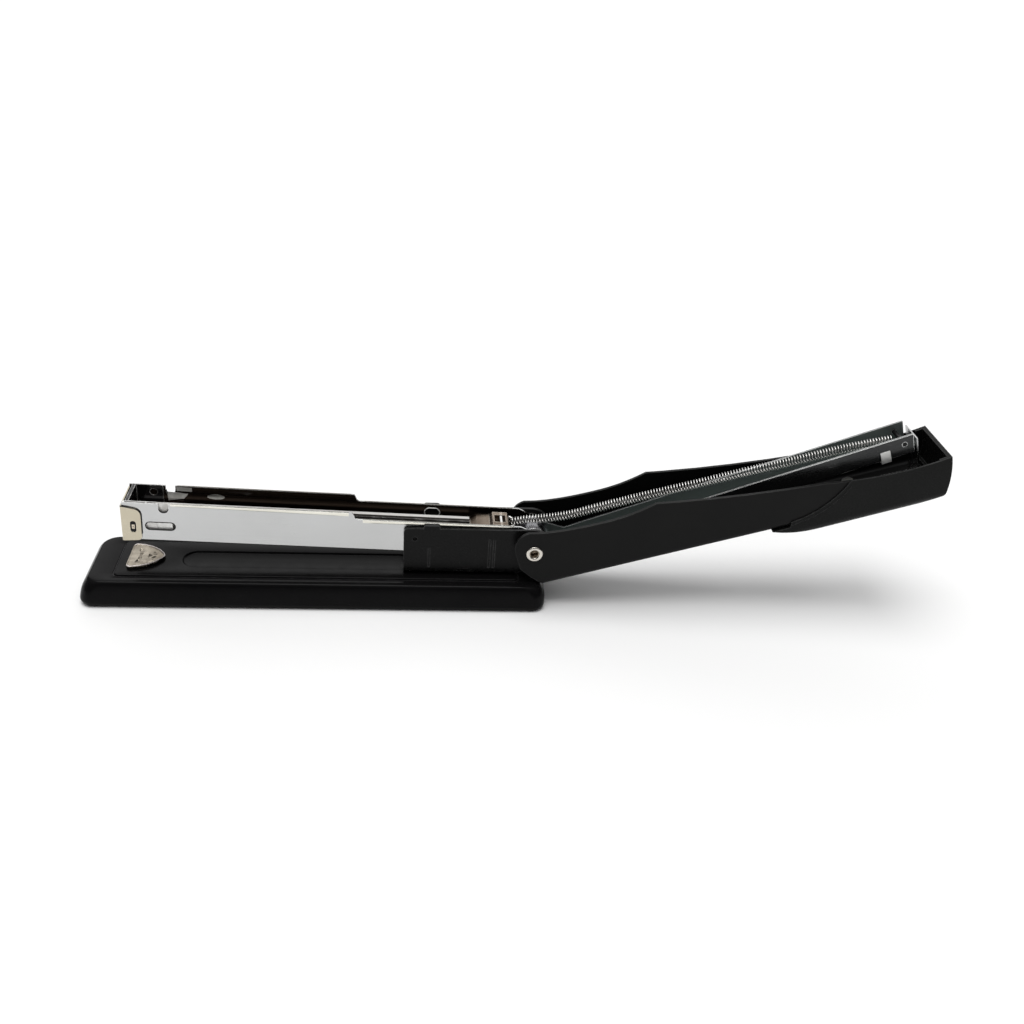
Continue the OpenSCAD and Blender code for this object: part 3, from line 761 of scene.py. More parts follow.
def through(rows: np.ndarray, steps: int) -> np.ndarray:
    """Draws a smooth curve through rows of numbers.

    Between two rows it is the cubic whose slope at each row is half the step between its neighbours.

    Args:
        rows: The rows to pass through.
        steps: Intervals between one row and the next.

    Returns:
        The rows of the curve, the first and last included.
    """
    rows = np.asarray(rows, float)
    slope = np.gradient(rows, axis=0)
    t = (np.arange(steps) / steps)[None, :, None]
    a, b, da, db = rows[:-1, None], rows[1:, None], slope[:-1, None], slope[1:, None]
    curve = (
        (2 * t**3 - 3 * t**2 + 1) * a
        + (t**3 - 2 * t**2 + t) * da
        + (3 * t**2 - 2 * t**3) * b
        + (t**3 - t**2) * db
    )
    return np.concatenate([curve.reshape(-1, rows.shape[1]), rows[-1:]])


def bend(p: tuple, q: tuple, s: tuple, steps: int = 12) -> np.ndarray:
    """Points of the quadratic Bezier curve from p to s with control point q, both ends included."""
    t = np.linspace(0, 1, steps + 1)[:, None]
    return (1 - t) ** 2 * np.array(p) + 2 * t * (1 - t) * np.array(q) + t**2 * np.array(s)


def inset(outline: np.ndarray, depth: np.ndarray) -> np.ndarray:
    """Moves a closed outline inward.

    Each point moves along the mean of its two edge normals, stretched so that edges move by depth.

    Args:
        outline: Points by two, anticlockwise.
        depth: One depth for each copy.

    Returns:
        Copies by points by two.
    """
    step = np.roll(outline, -1, 0) - outline
    normal = np.stack([-step[:, 1], step[:, 0]], -1) / np.linalg.norm(step, axis=1, keepdims=True)
    mean = normal + np.roll(normal, 1, 0)
    mean = mean / np.maximum((mean * mean).sum(1, keepdims=True) / 2, 0.35)
    return outline[None] + np.asarray(depth)[:, None, None] * mean[None]


def plate(outline: np.ndarray, y0: float, y1: float, edge: float, at: LocalFrame | RowFrame) -> Skin:
    """A flat plate with rounded edges, from a side outline.

    The rim is a stack of outlines: inset and height follow a quarter circle of the edge radius.

    Args:
        outline: Points by two in the local frame.
        y0: One face.
        y1: The other face.
        edge: Radius of its edges.
        at: The local frame.

    Returns:
        The plate's skin.
    """
    area = np.cross(outline, np.roll(outline, -1, 0)).sum()
    ring = outline if area > 0 else outline[::-1]
    turn = np.linspace(0, math.pi / 2, 4)
    depth = np.concatenate([edge * (1 - np.sin(turn)), edge * (1 - np.sin(turn[::-1]))])
    lift = np.concatenate([y0 + edge * (1 - np.cos(turn)), y1 - edge * (1 - np.cos(turn[::-1]))])
    rings = inset(ring, depth)
    return Skin().tube(at.place(rings[..., 0], lift[:, None], rings[..., 1]))


def lathe(profile: np.ndarray, centre: np.ndarray, axis: str, steps: int = 64) -> np.ndarray:
    """Turns a closed profile of (radius, height) about an axis through centre.

    Args:
        profile: Points by two.
        centre: Row-frame point on the axis.
        axis: "y" for a cross pin or "z" for an upright one.
        steps: Segments round the axis.

    Returns:
        Profile points by steps by three.
    """
    angle = once_round(steps)
    out = profile[:, :1] * np.cos(angle)
    side = profile[:, :1] * np.sin(angle)
    along = np.broadcast_to(profile[:, 1:], out.shape)
    parts = [out, along, side] if axis == "y" else [out, side, along]
    return np.stack(parts, -1) + centre


def wire_rings(line: np.ndarray, first: np.ndarray, radius: float, sides: int = 8) -> np.ndarray:
    """Rings of a wire along a line.

    Each ring is a circle in the plane of its first axis and that axis's cross product with the tangent.

    Args:
        line: Points by three.
        first: A unit direction square to the line, for each point.
        radius: Wire radius.
        sides: Points in each ring.

    Returns:
        Rings by sides by three.
    """
    second = np.cross(unit(np.gradient(line, axis=0)), first)
    turn = once_round(sides)[None, :, None]
    return line[:, None] + radius * (np.cos(turn) * first[:, None] + np.sin(turn) * second[:, None])


def round_wire(line: np.ndarray, radius: float, sides: int = 8) -> np.ndarray:
    """Rings of a round wire whose first axis is square to the line and to the across direction."""
    first = np.cross(unit(np.gradient(line, axis=0)), ACROSS)
    short = np.linalg.norm(first, axis=1, keepdims=True) < 1e-3
    return wire_rings(line, unit(np.where(short, np.array([1.0, 0.0, 0.0]), first)), radius, sides)


def wire_pair(
    at: LocalFrame, line: np.ndarray, y: object, radius: float, closed: bool = False, sides: int = 8
) -> Skin:
    """A round wire along a side-view line, once on each side of the middle plane.

    Args:
        at: The local frame of the line.
        line: Points by two.
        y: Distance from the middle plane, one for all points or one each.
        radius: Wire radius.
        closed: True where the line's end joins its start.
        sides: Points in each ring of the wire.

    Returns:
        The skin of both wires.
    """
    skin = Skin()
    for side in (-1, 1):
        rings = round_wire(at.place(line[:, 0], side * y, line[:, 1]), radius, sides)
        skin = skin.loop(rings) if closed else skin.tube(rings)
    return skin


def coil_line(path: np.ndarray, coil: float, pitch: float, per_turn: int, phase: float) -> tuple:
    """The wire's centreline of a coil spring along a side-view path.

    The coil turns once for each pitch of path length, at the coil radius, in the plane of the
    path's normal and the across direction.

    Args:
        path: Points by three in the middle plane.
        coil: Radius of the wire's centreline.
        pitch: Path length of one turn.
        per_turn: Points in each turn.
        phase: Angle at the start.

    Returns:
        The points of the line and the outward direction at each.
    """
    step = np.linalg.norm(np.diff(path, axis=0), axis=1)
    run = np.concatenate([[0], np.cumsum(step)])
    count = int(run[-1] / pitch * per_turn)
    at = np.linspace(0, run[-1], count)
    centre = np.stack([np.interp(at, run, path[:, k]) for k in range(3)], -1)
    up = np.cross(unit(np.gradient(centre, axis=0)), ACROSS)
    angle = (phase + 2 * math.pi * at / pitch)[:, None]
    outward = np.cos(angle) * up + np.sin(angle) * ACROSS
    return centre + coil * outward, outward


# ---------------------------------------------------------------- base


@dataclass
class Base:
    """The pressed base, its rubber pad, the hanger bracket and the hinge hardware.

    Attributes:
        length: Length at the widest level.
        width: Width at the widest level.
        rim: Height of the flat rim.
        panel: Height of the raised panel.
        wall: Wall of the pressing.
        insets: Rows up the outside: height, insets of front, rear and sides, and corner radius.
    """

    length: float = 195.0
    width: float = 40.0
    rim: float = 11.5
    panel: float = 12.0
    wall: float = 2.0
    insets: np.ndarray = field(default_factory=lambda: np.array([
        [0.5, 0.9, 0.7, 0.6, 5.0], [1.4, 0.25, 0.15, 0.15, 5.3], [3, 0, 0, 0, 5.5], [7, 0.9, 0.2, 0.95, 6],
        [10, 2.6, 1.9, 1.8, 6.5], [11.05, 3.5, 3.4, 2.3, 6.6], [11.36, 4.0, 5.0, 2.62, 6.6],
        [11.5, 4.7, 6.9, 3.05, 6.4]]))

    def level(self, z: float, front: float, rear: float, side: float, corner: float) -> list[float]:
        """Returns one ring row from its height, its insets and its corner radius."""
        end = self.length / 2
        return [z, front - end, end - rear, self.width / 2 - side, corner]

    def shell(self) -> bpy.types.Object:
        """Builds the pressing: a smooth stack of rings up the outside, the panel and its long groove."""
        outside = [self.level(*row) for row in through(self.insets, 6)]
        # rows of the panel as in insets, then ring rows: height, front, rear, half width, corner radius
        top = [[self.rim, 12.9, 11.2, 6.3, 2.6], [self.rim - 0.08, 13.05, 11.35, 6.42, 2.5],
            [self.rim - 0.34, 13.2, 11.5, 6.55, 2.4], [self.rim - 0.34, 13.6, 11.9, 6.95, 2.2],
            [self.panel - 0.2, 13.8, 12.1, 7.12, 1.9], [self.panel - 0.05, 13.95, 12.25, 7.26, 1.7],
            [self.panel, 14.25, 12.55, 7.55, 1.4]]
        groove = [[self.panel, -57.9, 40.0, 6.45, 6.45], [self.panel - 0.06, -57.65, 40.0, 6.2, 6.2],
            [self.panel - 0.3, -57.5, 40.0, 6.05, 6.05], [self.panel - 0.7, -57.2, 40.0, 5.75, 5.75],
            [self.panel - 0.8, -56.8, 40.0, 5.35, 5.35], [self.panel - 0.8, -52.0, 35.2, 0.6, 0.6]]
        inner = [[self.rim - self.wall, -90.0, 88.0, 15.0, 4], [self.rim - self.wall, -93.0, 92.5, 17.0, 4],
            [7, -94.4, 95.0, 17.2, 4], [0.5, -95.0, 95.2, 17.8, 4]]
        levels = np.array(inner + outside + [self.level(*row) for row in top] + groove)
        return settle(Skin().tube(ring_stack(levels)).mesh("base_pressing", math.radians(50)), "base",
            BASE_ENAMEL, "base_shell")

    def pad(self) -> bpy.types.Object:
        """Builds the rubber pad: a rounded slab whose underside has cross grooves."""
        low, high = (np.array(corner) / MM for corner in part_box("base_pad"))
        half = high[1]
        levels = np.array([[0.0, low[0] + 0.5, high[0] - 0.5, half - 0.5, 3.0],
            [0.15, low[0] + 0.12, high[0] - 0.12, half - 0.12, 3.2], [0.5, low[0], high[0], half, 3.3],
            [high[2], low[0], high[0], half, 3.3]])
        skin = Skin().tube(ring_stack(levels))
        return settle(skin.mesh("rubber_pad"), "base", PAD_RUBBER, "base_pad")

    def leaf(self) -> bpy.types.Object:
        """Builds the leaf that holds the magazine up: a flat foot, then one long curve."""
        foot = self.panel + 1.2
        low = np.concatenate([[(78.0, foot)], bend((57, foot), (49, foot), (40.5, 21.6), 24), [(38.6, 21.3)]])
        outline = np.concatenate([low, (low + np.array([0, 0.7]))[::-1]])
        skin = plate(outline, -5, 5, 0.15, ROW)
        piece = settle(skin.mesh("lift_leaf"), "base", SPRING_STEEL, "lift_spring")
        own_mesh(piece)
        log.info("%s presses flat with the magazine", piece.name)
        return piece

    def rivet(self) -> bpy.types.Object:
        """Builds the hollow hinge rivet: a tube whose two ends roll outward into heads."""
        reach, hole, outer = 14.5, 1.95, 2.6
        roll = np.linspace(math.radians(180), math.radians(-40), 14)
        head = np.stack([2.75 + 0.8 * np.cos(roll), reach - 0.48 + 0.48 * np.sin(roll)], -1)
        half = np.concatenate([[[hole, 9.0]], [[hole, reach - 0.6]], head, [[outer, reach - 0.75]]])
        profile = np.concatenate([half, (half * np.array([1, -1]))[::-1]])
        rings = lathe(profile, HINGE, "y")
        piece = Skin().loop(rings).mesh("hollow_rivet", math.radians(60))
        return settle(piece, "base", RIVET_NICKEL, "hinge_pin")

    def rivet_core(self) -> bpy.types.Object:
        """Builds the folded lining inside the hollow rivet.

        Its radius follows a profile of depth and waves three times round, more so deeper in.
        """
        profile = np.array([[0.0, 11.9, 0.0], [0.75, 11.95, 0.25], [1.05, 12.6, 0.32], [1.3, 13.3, 0.2],
            [1.75, 13.75, 0.06], [1.98, 13.8, 0.0], [2.0, 13.2, 0.0]])
        profile = np.concatenate([profile, (profile * np.array([1, -1, 1]))[::-1]])
        angle = once_round(72)
        radius = profile[:, :1] + profile[:, 2:] * np.cos(3 * angle + 0.7)
        radius = np.maximum(radius, 0.02)
        along = np.broadcast_to(profile[:, 1:2], radius.shape)
        rings = np.stack([radius * np.cos(angle), along, radius * np.sin(angle)], -1) + HINGE
        return settle(Skin().tube(rings).mesh("rivet_lining", math.radians(50)), "base", RIVET_BRONZE)

    def build(self) -> None:
        """Builds every piece of the base."""
        self.shell()
        self.pad()
        self.leaf()
        self.rivet()
        self.rivet_core()
        soften_all((("hanger_bracket", BRACKET_ENAMEL, 0.25), ("bracket_rivets", ZINC_STEEL, 0.12),
            ("hinge_spacers", ZINC_STEEL, 0.12), ("spring_bush", SPRING_STEEL, 0.12),
            ("anvil_spring", SPRING_STEEL, 0.12)))


# ---------------------------------------------------------------- anvil


@dataclass
class Anvil:
    """The turning anvil plate with its staple pockets, and the stud and clip under it.

    Attributes:
        lobes: Distance along, distance across and radius of the circles that the outline wraps.
        thick: Thickness of the plate.
        field_drop: Depth of the sunk field inside the rim.
        hollows: Each pocket's place along and across, its turn in degrees and its two half sizes.
        hollow_depth: Depth that the pockets are scaled by.
        rim_wire: Radius of the rolled rim.
        rim_drop: Depth of the rolled rim's centreline below the plate's top.
    """

    lobes: tuple = ((-5.4, 7.0, 2.0), (-2.7, 6.2, 2.3), (0.0, 4.75, 2.65), (2.4, 2.6, 3.0), (4.2, 0.0, 3.2))
    thick: float = 1.4
    field_drop: float = 0.28
    hollows: tuple = ((-3.2, 4.6, 90, 1.5, 1.0), (-3.2, 1.5, 90, 0.9, 0.9), (-3.2, -1.5, 90, 0.9, 0.9),
        (-3.4, -4.6, 80, 1.6, 0.7), (2.9, 1.7, 115, 1.2, 0.7), (2.9, -1.7, 65, 1.2, 0.7),
        (1.1, 0.0, 90, 0.7, 0.7))
    hollow_depth: float = 0.55
    rim_wire: float = 0.4
    rim_drop: float = 0.3

    def outline(self, scale: np.ndarray, shrink: np.ndarray) -> np.ndarray:
        """Rings of the plate's outline.

        A ring takes, for each direction, the circle that reaches furthest that way.

        Args:
            scale: Size of each ring about the field's middle.
            shrink: How far each ring is drawn in.

        Returns:
            Rings by points by two, from the pivot.
        """
        angle = once_round(144)
        toward = np.stack([np.cos(angle), np.sin(angle)], -1)
        circles = np.array([(x, s * y, r) for x, y, r in self.lobes for s in (-1, 1)])
        best = np.argmax(toward @ circles[:, :2].T + circles[:, 2], axis=1)
        edge = circles[best, :2] + (circles[best, 2:] - shrink[:, None, None]) * toward[None]
        heart = np.array([-1.6, 0.0])
        return heart + (edge - heart) * scale[:, None, None]

    def pockets(self, spot: np.ndarray) -> np.ndarray:
        """Depth of the staple pockets and dents at points from the pivot: soft-edged ellipses."""
        depth = np.zeros(spot.shape[:-1])
        for x, y, turn, long, wide in self.hollows:
            a = math.radians(turn)
            dx, dy = spot[..., 0] - x, spot[..., 1] - y
            along, aside = dx * math.cos(a) + dy * math.sin(a), dy * math.cos(a) - dx * math.sin(a)
            depth += self.hollow_depth * np.clip(1.25 - (along / long) ** 2 - (aside / wide) ** 2, 0, 1)
        return depth

    def plate(self) -> bpy.types.Object:
        """Builds the plate: rounded rim, sunk field and pockets, closed underneath."""
        pivot = middle("anvil_stud")
        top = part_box("anvil_plate")[1].z / MM
        roll = np.linspace(0, math.pi / 2, 5)
        rim_shrink = np.concatenate([[0.3, 0.0], 0.35 * (1 - np.cos(roll)), [0.6, 0.72, 0.85]])
        rim_z = np.concatenate([[0, 0.3], self.thick - 0.35 * (1 - np.sin(roll)),
            [self.thick - 0.02, self.thick - 0.16, self.thick - self.field_drop]])
        inner = np.linspace(1, 0.02, 40)[1:]
        scale = np.concatenate([np.ones(len(rim_shrink)), inner])
        shrink = np.concatenate([rim_shrink, np.full(len(inner), 0.85)])
        flat = self.outline(scale, shrink)
        height = np.concatenate([rim_z, np.full(len(inner), self.thick - self.field_drop)])[:, None]
        height = height - self.pockets(flat) * (np.arange(len(scale)) >= len(rim_z) - 1)[:, None]
        points = np.concatenate([flat + pivot[:2], (top - self.thick + height)[..., None]], -1)
        return settle(Skin().tube(points).mesh("anvil_shield", math.radians(60)), "anvil", ANVIL_NICKEL,
            "anvil_plate")

    def rim(self) -> bpy.types.Object:
        """Builds the rolled rim: a wire along the outline, drawn in by its own radius."""
        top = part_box("anvil_plate")[1].z / MM
        ring = self.outline(np.ones(1), np.array([self.rim_wire]))[0] + middle("anvil_stud")[:2]
        line = np.concatenate([ring, np.full((len(ring), 1), top - self.rim_drop)], 1)
        outward = np.concatenate([unit(ring - ring.mean(0)), np.zeros((len(ring), 1))], 1)
        skin = Skin().loop(wire_rings(line, outward, self.rim_wire))
        # the rim takes the lighter nickel copy, a painted highlight
        return settle(skin.mesh("anvil_rim", math.radians(60)), "anvil", ANVIL_RIM_HIGHLIGHT)

    def build(self) -> None:
        """Builds the plate, its rim, the stud and the clip."""
        self.plate()
        self.rim()
        soften_all((("anvil_stud", ZINC_STEEL, 0.2), ("anvil_clip", ZINC_STEEL, 0.12)))


# ---------------------------------------------------------------- magazine


@dataclass
class Magazine:
    """The plated magazine with its rolled lips, rail, nose lining and nose guard.

    Attributes:
        half: Half of the outer width.
        wall: Wall thickness.
        front_top: Height of the front walls above the hinge axis.
        rear_top: Height of the rear walls above the hinge axis.
        front_ends: Where the rolled lips of the front walls start and end.
        rear_ends: Where those of the rear walls start and end.
    """

    half: float = 7.95
    wall: float = 0.8
    front_top: float = 12.5
    rear_top: float = 9.4
    front_ends: tuple = (-150.6, -78.4)
    rear_ends: tuple = (-72.6, -9.0)

    def lips(self, name: str, ends: tuple, top: float, drops: tuple) -> bpy.types.Object:
        """Builds a pair of rolled lips.

        Each is a half-round bead over the wall's top edge, and its lower line runs evenly from one
        drop below the top to the other.

        Args:
            name: The piece's name.
            ends: Front and rear end, from the hinge.
            top: Height of the wall's top edge.
            drops: Depth of the bead at its front and rear ends.

        Returns:
            The piece.
        """
        u = np.linspace(*ends, 40)
        share = (u - u[0]) / (u[-1] - u[0])
        drop = drops[0] + (drops[1] - drops[0]) * share
        taper = np.clip(np.minimum(share, 1 - share) * 18, 0.15, 1)
        t = np.linspace(0, 1, 13)
        skin = Skin()
        for side in (-1, 1):
            out = 0.16 * np.sin(math.pi * t[None]) ** 0.7 * taper[:, None]
            v = top + 0.14 - (drop[:, None] + 0.14) * t[None]
            rim_y = self.half + 0.02 + out
            y = np.where(t[None] < 0.12, self.half - 0.4, rim_y)
            outer = MAGAZINE.place(u[:, None], side * y, v)
            back = MAGAZINE.place(u[:, None], side * (self.half - 0.3) + 0 * v[:, :2], v[:, [-1, 0]])
            skin.tube(np.concatenate([outer, back], 1))
        # the lighter chrome copy paints the highlight along the top edges
        return settle(skin.mesh(name, math.radians(60)), "magazine", LIP_CHROME_HIGHLIGHT)

    def tabs(self) -> None:
        """Builds the tabs inside the walls, bright plates that paint the reflection in the nose slot and the
        light in the notch, and the bright oval on the far inner wall.

        Each is a thin plate on a wall's inner face, from an outline in the side view.
        """
        inside = self.half - self.wall
        arc = once_round(40)
        oval = np.stack([3.6 * np.cos(arc) - 134.8, 1.25 * np.sin(arc) + 8.1], -1)
        strip = [(-156.1, -0.3), (-150.3, -0.3), (-150.3, 4.0), (-156.1, 4.0)]
        notch = [(-156.0, 7.3), (-150.4, 7.3), (-150.4, 12.2), (-156.0, 12.2)]
        far = [(-150.9, 10.3), (-144.6, 10.1), (-144.6, 11.9), (-150.9, 12.0)]
        gusset = [(-154.6, 9.8), (-146.2, 9.0), (-148.0, 6.6), (-154.6, 5.4)]
        for name, outline, side, thick, finish in (
            # the notch plate and the two slot plates are bright plates: painted light in the notch, painted
            # reflection in the slot
            ("notch_light_plate", notch, -1, 0.1, TAB_STEEL),
            ("near_slot_sheen", strip, -1, 0.1, CLIP_STEEL),
            ("far_slot_sheen", strip, 1, 0.1, CLIP_STEEL),
            ("far_tab", far, 1, 0.1, TAB_STEEL),
            ("far_gusset", gusset, 1, 0.1, TAB_STEEL),
            ("far_bright_oval", oval, 1, 0.06, ZINC_STEEL),
        ):
            low, high = sorted((side * inside, side * (inside - thick)))
            piece = plate(np.array(outline, float), low, high, thick * 0.3, MAGAZINE).mesh(name)
            settle(piece, "magazine", finish)

    def opening_rims(self) -> None:
        """Builds fine wires along the side openings' outlines: light burrs round the window, and dark wires
        of painted shade round the slot and under the notch.

        Windows and slots are two half circles joined by straights; a notch is one half circle.
        """
        half_turn = np.linspace(-math.pi / 2, math.pi / 2, 20)
        for name, spot, straight, radius, lift, wire, finish in (
            ("window_burrs", (-43.5, 5.6), 1.15, 2.15, -0.82, 0.24, CLIP_STEEL),
            ("slot_shade_rim", (-155.0, 1.85), 4.15, 1.85, 0.0, 0.2, SHADE_BLACK),
        ):
            right = np.stack([straight + radius * np.cos(half_turn), radius * np.sin(half_turn)], -1)
            ring = np.concatenate([right, -right]) + np.array(spot)
            skin = wire_pair(MAGAZINE, ring, self.half + lift, wire, closed=True)
            settle(skin.mesh(name, math.radians(60)), "magazine", finish)
        # dark wire of painted shade under the notch
        under = np.linspace(0, -math.pi, 20)
        moon = np.stack([1.9 * np.cos(under) - 153.35, 1.9 * np.sin(under) + 10.2], -1)
        skin = wire_pair(MAGAZINE, moon, self.half - 0.05, 0.17)
        settle(skin.mesh("notch_shade_rim", math.radians(60)), "magazine", SHADE_BLACK)

    def studs(self) -> bpy.types.Object:
        """Builds the small domed studs on the nose: quarter circles turned about the cross axis."""
        turn = np.linspace(0, math.pi / 2, 6)
        skin = Skin()
        for u, v, reach, radius in (
            (-160.2, 12.0, 7.3, 0.6),
            (-168.6, 9.4, 7.3, 0.6),
            (-169.2, 12.0, 7.3, 0.6),
            (-158.6, 12.1, -7.7, 0.55),
        ):
            dome = np.stack([radius * np.cos(turn), radius * 0.8 * np.sin(turn)], -1)
            profile = np.concatenate([[[0.01, -0.8]], [[radius, -0.8]], dome])
            skin.tube(lathe(profile * np.array([1, -1]), MAGAZINE.place(u, -reach, v), "y", 20))
        return settle(skin.mesh("nose_studs", math.radians(50)), "magazine", CLIP_STEEL)

    def guard_trim(self) -> None:
        """Builds dark wires along the nose guard's cut edge and dark plates round the latch tongue, painted
        shade in those gaps, and the latch tongue itself.
        """
        corner = bend((-165.2, 10), (-162.6, 9.4), (-162.4, 6.8))
        edge = np.concatenate([[(-170.4, 10.9), (-168, 10.55)], corner, [(-162.45, 2.0), (-162.55, -2.0)]])
        shades, tongues = wire_pair(MAGAZINE, edge, self.half + 0.42, 0.24), Skin()
        # shades: dark wires and plates of painted shade along the guard's cut edge and round the tongue's
        # slot
        for skin, wide, tall, lift in ((shades, 1.12, 2.45, 0.42), (tongues, 0.6, 1.0, 0.52)):
            box = np.array([(-wide, -tall), (wide, -tall), (wide, tall), (-wide, tall)]) + (-165.8, 1.4)
            for side in (-1, 1):
                low, high = sorted((side * (self.half + lift - 0.1), side * (self.half + lift)))
                skin.join(plate(box, low, high, 0.04, MAGAZINE))
        settle(shades.mesh("guard_gap"), "magazine", SHADE_BLACK)
        settle(tongues.mesh("latch_tongues"), "magazine", RIVET_BRONZE)

    def build(self) -> None:
        """Builds every piece of the magazine."""
        softened("magazine_housing", CHROME, 0.12)
        self.lips("front_lips", self.front_ends, self.front_top, (0.9, 1.7))
        self.lips("rear_lips", self.rear_ends, self.rear_top, (1.5, 1.2))
        self.tabs()
        self.opening_rims()
        self.studs()
        self.guard_trim()
        soften_all((("staple_rail", RAIL_STEEL, 0.2), ("rail_pins", ZINC_STEEL, 0.1),
            ("nose_guide", NOSE_BLUED_GLINTS, 0.15), ("front_guard", CREAM_NICKEL, 0.2)))


@dataclass
class Pusher:
    """The follower that feeds the strip, with the cross pin that the spring hooks on.

    Attributes:
        hook: Points of one wire hook: distance from the hinge, distance across and height.
        hook_wire: Radius of the hooks' wire.
    """

    hook: tuple = ((-14.8, 4.6, 6.9), (-13.6, 4.8, 7.3), (-11.6, 4.6, 7.3), (-9.6, 3.6, 7.0),
        (-8.6, 2.4, 6.8))
    hook_wire: float = 0.36

    def hooks(self) -> bpy.types.Object:
        """Builds the two bright wire hooks between the cross pin's ends and the long spring."""
        line = through(np.array(self.hook), 6)
        skin = wire_pair(MAGAZINE, line[:, [0, 2]], line[:, 1], self.hook_wire)
        return settle(skin.mesh("spring_hooks", math.radians(70)), "pusher", CLIP_STEEL)

    def build(self) -> None:
        """Builds the follower, its pin and the spring's hooks."""
        self.hooks()
        soften_all((("pusher", PUSHER_BRONZE, 0.25), ("pusher_pin", SPRING_WIRE, 0.2)))


# ---------------------------------------------------------------- long spring


@dataclass
class LongSpring:
    """The long coil spring from the pusher over the hinge to the channel's anchor pin.

    Attributes:
        coil: Radius of the wire's centreline.
        wire: Radius of the wire.
        pitch: Path length of one turn.
        near: Side-view points from the hinge over the bush, from the pusher.
        far: Points in the handle's frame, from the hinge to the anchor.
        steps: Points of the path from one of those to the next.
        per_turn: Points of the wire in one turn.
    """

    coil: float = 1.8
    wire: float = 0.26
    pitch: float = 1.24
    near: tuple = ((-9.9, 7.2), (-5.6, 8.05), (-1.4, 8.9))
    far: tuple = ((7.7, 7.5), (18.5, 6.1), (31.7, 6.1), (53.7, 6.0), (75.5, 5.4), (97.0, 5.1),
        (118.7, 4.5), (140.0, 4.2), (157.5, 3.0))
    steps: int = 40
    per_turn: int = 16

    def paths(self) -> tuple[np.ndarray, np.ndarray]:
        """Returns the smooth paths of the short part on the magazine and the long part past it."""
        near = [(HINGE[0] + x, 0.0, HINGE[2] + z) for x, z in self.near]
        far = [tuple(HANDLE.place(u, 0.0, v)) for u, v in self.far]
        line = through(np.array(near + far), self.steps)
        cut = self.steps * (len(near) - 1)
        return line[: cut + 1], line[cut:]

    def build(self) -> None:
        """Builds the two parts of the coil, each dressed and left in the row frame."""
        short, long = self.paths()
        turns = np.linalg.norm(np.diff(short, axis=0), axis=1).sum() / self.pitch
        for name, path, phase, bodies, last in (
            ("spring_at_pusher", short, 0.0, ("pusher", "magazine"), len(short) - 1),
            ("spring_over_hinge", long, 2 * math.pi * turns, ("magazine", "channel"), 2 * self.steps),
        ):
            line, outward = coil_line(path, self.coil, self.pitch, self.per_turn, phase)
            piece = Skin().tube(wire_rings(line, outward, self.wire)).mesh(name, math.radians(70))
            dress(piece, SPRING_WIRE)
            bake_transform(piece)
            if name == "spring_over_hinge":
                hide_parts("pusher_spring")
            log.info("%s bends between %s and %s", name, *bodies)


# ---------------------------------------------------------------- hold-down channel


@dataclass
class HoldChannel:
    """The channel that presses the strip down, with its clip and the spring's anchor pin."""

    def build(self) -> None:
        """Builds the channel's pieces."""
        soften_all((("hold_channel", CHANNEL_STEEL, 0.2), ("channel_clip", CLIP_STEEL, 0.15),
            ("anchor_pin", PIN_SHADE_BLACK, 0.2)))


# ---------------------------------------------------------------- handle


@dataclass
class Handle:
    """The handle shell, its grip cap, the driver blade and the leaf that lifts it off the channel.

    Attributes:
        web: Depth of the shell's web below the hinge axis.
        wall: Sheet thickness of the shell.
        side: Half width of the grip cap.
        bead: Radius of the bead along the cap's front edge.
    """

    web: float = 17.05
    wall: float = 1.3
    side: float = 14.33
    bead: float = 0.32

    def leaf(self) -> bpy.types.Object:
        """Builds the leaf between handle and channel: a flat foot, one curve and a flat tip."""
        seat = self.wall - self.web
        low = np.concatenate([[(50.0, seat)], bend((64, seat), (92, seat), (110, -4.9), 24), [(114.0, -4.9)]])
        outline = np.concatenate([low, (low + np.array([0, 0.6]))[::-1]])
        skin = plate(outline, -4.5, 4.5, 0.15, WEB)
        piece = settle(skin.mesh("return_leaf_spring"), "handle", SPRING_STEEL, "return_leaf")
        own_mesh(piece)
        log.info("%s presses flat with the handle", piece.name)
        return piece

    def seam(self) -> bpy.types.Object:
        """Builds the raised bead beside the cap's front edge: a fine wire along the seam's curve."""
        line = np.concatenate([bend((135.0, -5.6), (125.6, -15.2), (109.3, -17.2), 24), [(108.4, -17.4)]])
        skin = wire_pair(HANDLE, line, self.side, self.bead, sides=10)
        return settle(skin.mesh("cap_seam_bead", math.radians(60)), "handle", CAP_PLASTIC)

    def build(self) -> None:
        """Builds every piece of the handle."""
        self.seam()
        soften_all((("handle_shell", HANDLE_ENAMEL, 0.3), ("grip_cap", CAP_PLASTIC, 0.4),
            ("cap_screws", ZINC_STEEL, 0.12), ("driver_blade", BLADE_STEEL, 0.08),
            ("blade_rivets", ZINC_STEEL, 0.12), ("leaf_rivet", ZINC_STEEL, 0.12)))
        self.leaf()


# ---------------------------------------------------------------- studio


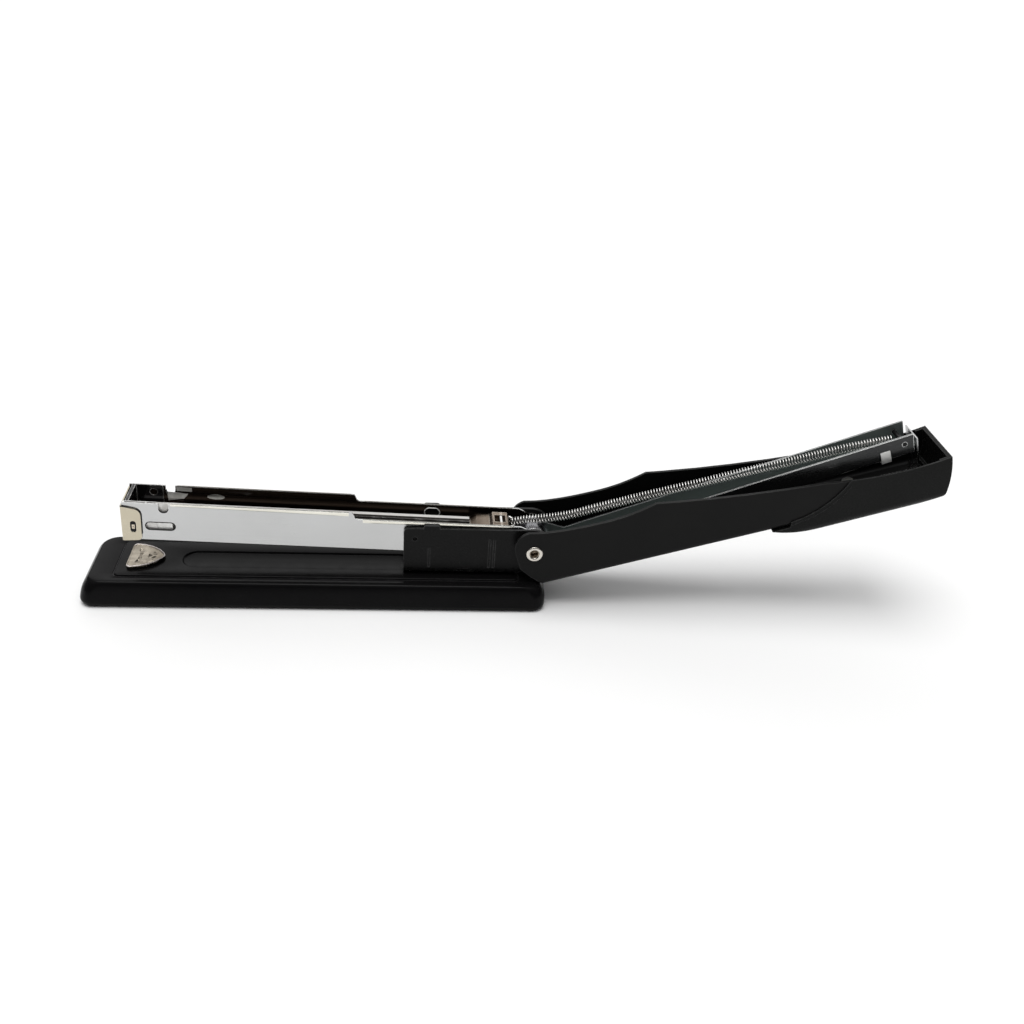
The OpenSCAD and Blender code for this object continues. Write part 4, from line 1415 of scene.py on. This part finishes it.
@dataclass
class Studio:
    """Pale floor, soft light and the camera.

    Attributes:
        eye: Camera place, in metres.
        right: The view's right direction.
        up: The view's up direction.
        sensor: Sensor width in millimetres.
        lens: Focal length in millimetres.
        floor_reach: Half width of the floor, in metres.
        sun: Strength of the overhead light.
        sun_from: Direction that it comes from.
        sun_spread: Angle that it spans, in degrees.
    """

    eye: tuple = (0.03987, -0.39502, 0.27510)
    right: tuple = (0.99561, -0.06848, 0.06386)
    up: tuple = (-0.01949, 0.51553, 0.85665)
    sensor: float = 36.0
    lens: float = 38.03
    floor_reach: float = 6.0
    sun: float = 1.95
    sun_from: tuple = (-0.1, 0.03, 1.0)
    sun_spread: float = 46.0

    def camera(self) -> None:
        """Makes the camera from its place and two of its axes."""
        right, up = Vector(self.right), Vector(self.up)
        turn = Matrix((right, up, right.cross(up))).transposed().to_4x4()
        data = bpy.data.cameras.new("camera")
        data.lens = self.lens
        data.sensor_width = self.sensor
        data.clip_start, data.clip_end = 0.01, 50.0
        made = bpy.data.objects.new("camera", data)
        made.matrix_world = Matrix.Translation(self.eye) @ turn
        bpy.context.scene.collection.objects.link(made)
        bpy.context.scene.camera = made

    def floor(self) -> None:
        """Makes the plain pale floor."""
        r = self.floor_reach / MM
        corners = np.array([[[-r, -r, 0.0], [r, -r, 0.0]], [[-r, r, 0.0], [r, r, 0.0]]])
        made = Skin().grid(corners).mesh("floor")
        paint = bpy.data.materials.new("floor_paint")
        paint.use_nodes = True
        tree = paint.node_tree
        shader = tree.nodes["Principled BSDF"]
        noise = place_node(tree, "TexNoise", Vector=object_point(tree), Scale=3.0)
        pale = tint(tree, noise.outputs["Fac"], (0.9, 0.9, 0.9, 1), (0.92, 0.92, 0.915, 1))
        feed(tree, shader.inputs["Base Color"], pale)
        shader.inputs["Roughness"].default_value = 0.9
        shader.inputs["Specular IOR Level"].default_value = 0.1
        made.data.materials.append(paint)

    def world(self) -> None:
        """Makes the room's light.

        It is bright overhead and dim at the horizon, with one pale panel behind the object, and the
        backdrop itself shows white.
        """
        room = bpy.data.worlds.new("room")
        room.use_nodes = True
        tree = room.node_tree
        toward = place_node(tree, "TexCoord").outputs["Generated"]
        split = place_node(tree, "SeparateXYZ", Vector=toward)
        height = split.outputs["Z"]
        band = calc(tree, "MULTIPLY", ramp(tree, height, 0.2, 0.42), ramp(tree, height, 0.85, 0.6))
        panel = calc(tree, "MULTIPLY", band, ramp(tree, split.outputs["Y"], 0.45, 0.7))
        dome = tint(tree, ramp(tree, height, 0.25, 1.0), (0.05, 0.05, 0.052, 1), (0.72, 0.72, 0.72, 1))
        below = ramp(tree, height, -0.01, -0.08)
        lit = tint(tree, below, tint(tree, panel, dome, (1.3, 1.3, 1.3, 1)), (0.7, 0.7, 0.7, 1))
        glow = tint(tree, place_node(tree, "LightPath").outputs["Is Camera Ray"], lit, (1, 1, 1, 1))
        feed(tree, tree.nodes["Background"].inputs["Color"], glow)
        tree.nodes["Background"].inputs["Strength"].default_value = 1.0
        bpy.context.scene.world = room

    def overhead(self) -> None:
        """Makes the broad soft light above."""
        data = bpy.data.lights.new("overhead", "SUN")
        data.energy = self.sun
        data.angle = math.radians(self.sun_spread)
        made = bpy.data.objects.new("overhead", data)
        made.rotation_euler = (-Vector(self.sun_from)).to_track_quat("-Z", "Y").to_euler()
        bpy.context.scene.collection.objects.link(made)

    def build(self) -> None:
        """Builds the whole studio."""
        self.camera()
        self.floor()
        self.world()
        self.overhead()
        bpy.context.scene.view_settings.view_transform = "Standard"


def main() -> None:
    """Builds the stapler and the studio in order."""
    logging.basicConfig(level=logging.INFO, format="%(name)s: %(message)s")
    for assembly in (Base(), Anvil(), Magazine(), Pusher(), LongSpring(), HoldChannel(), Handle(), Studio()):
        log.info("building %s", type(assembly).__name__)
        assembly.build()


if __name__ == "__main__":
    main()
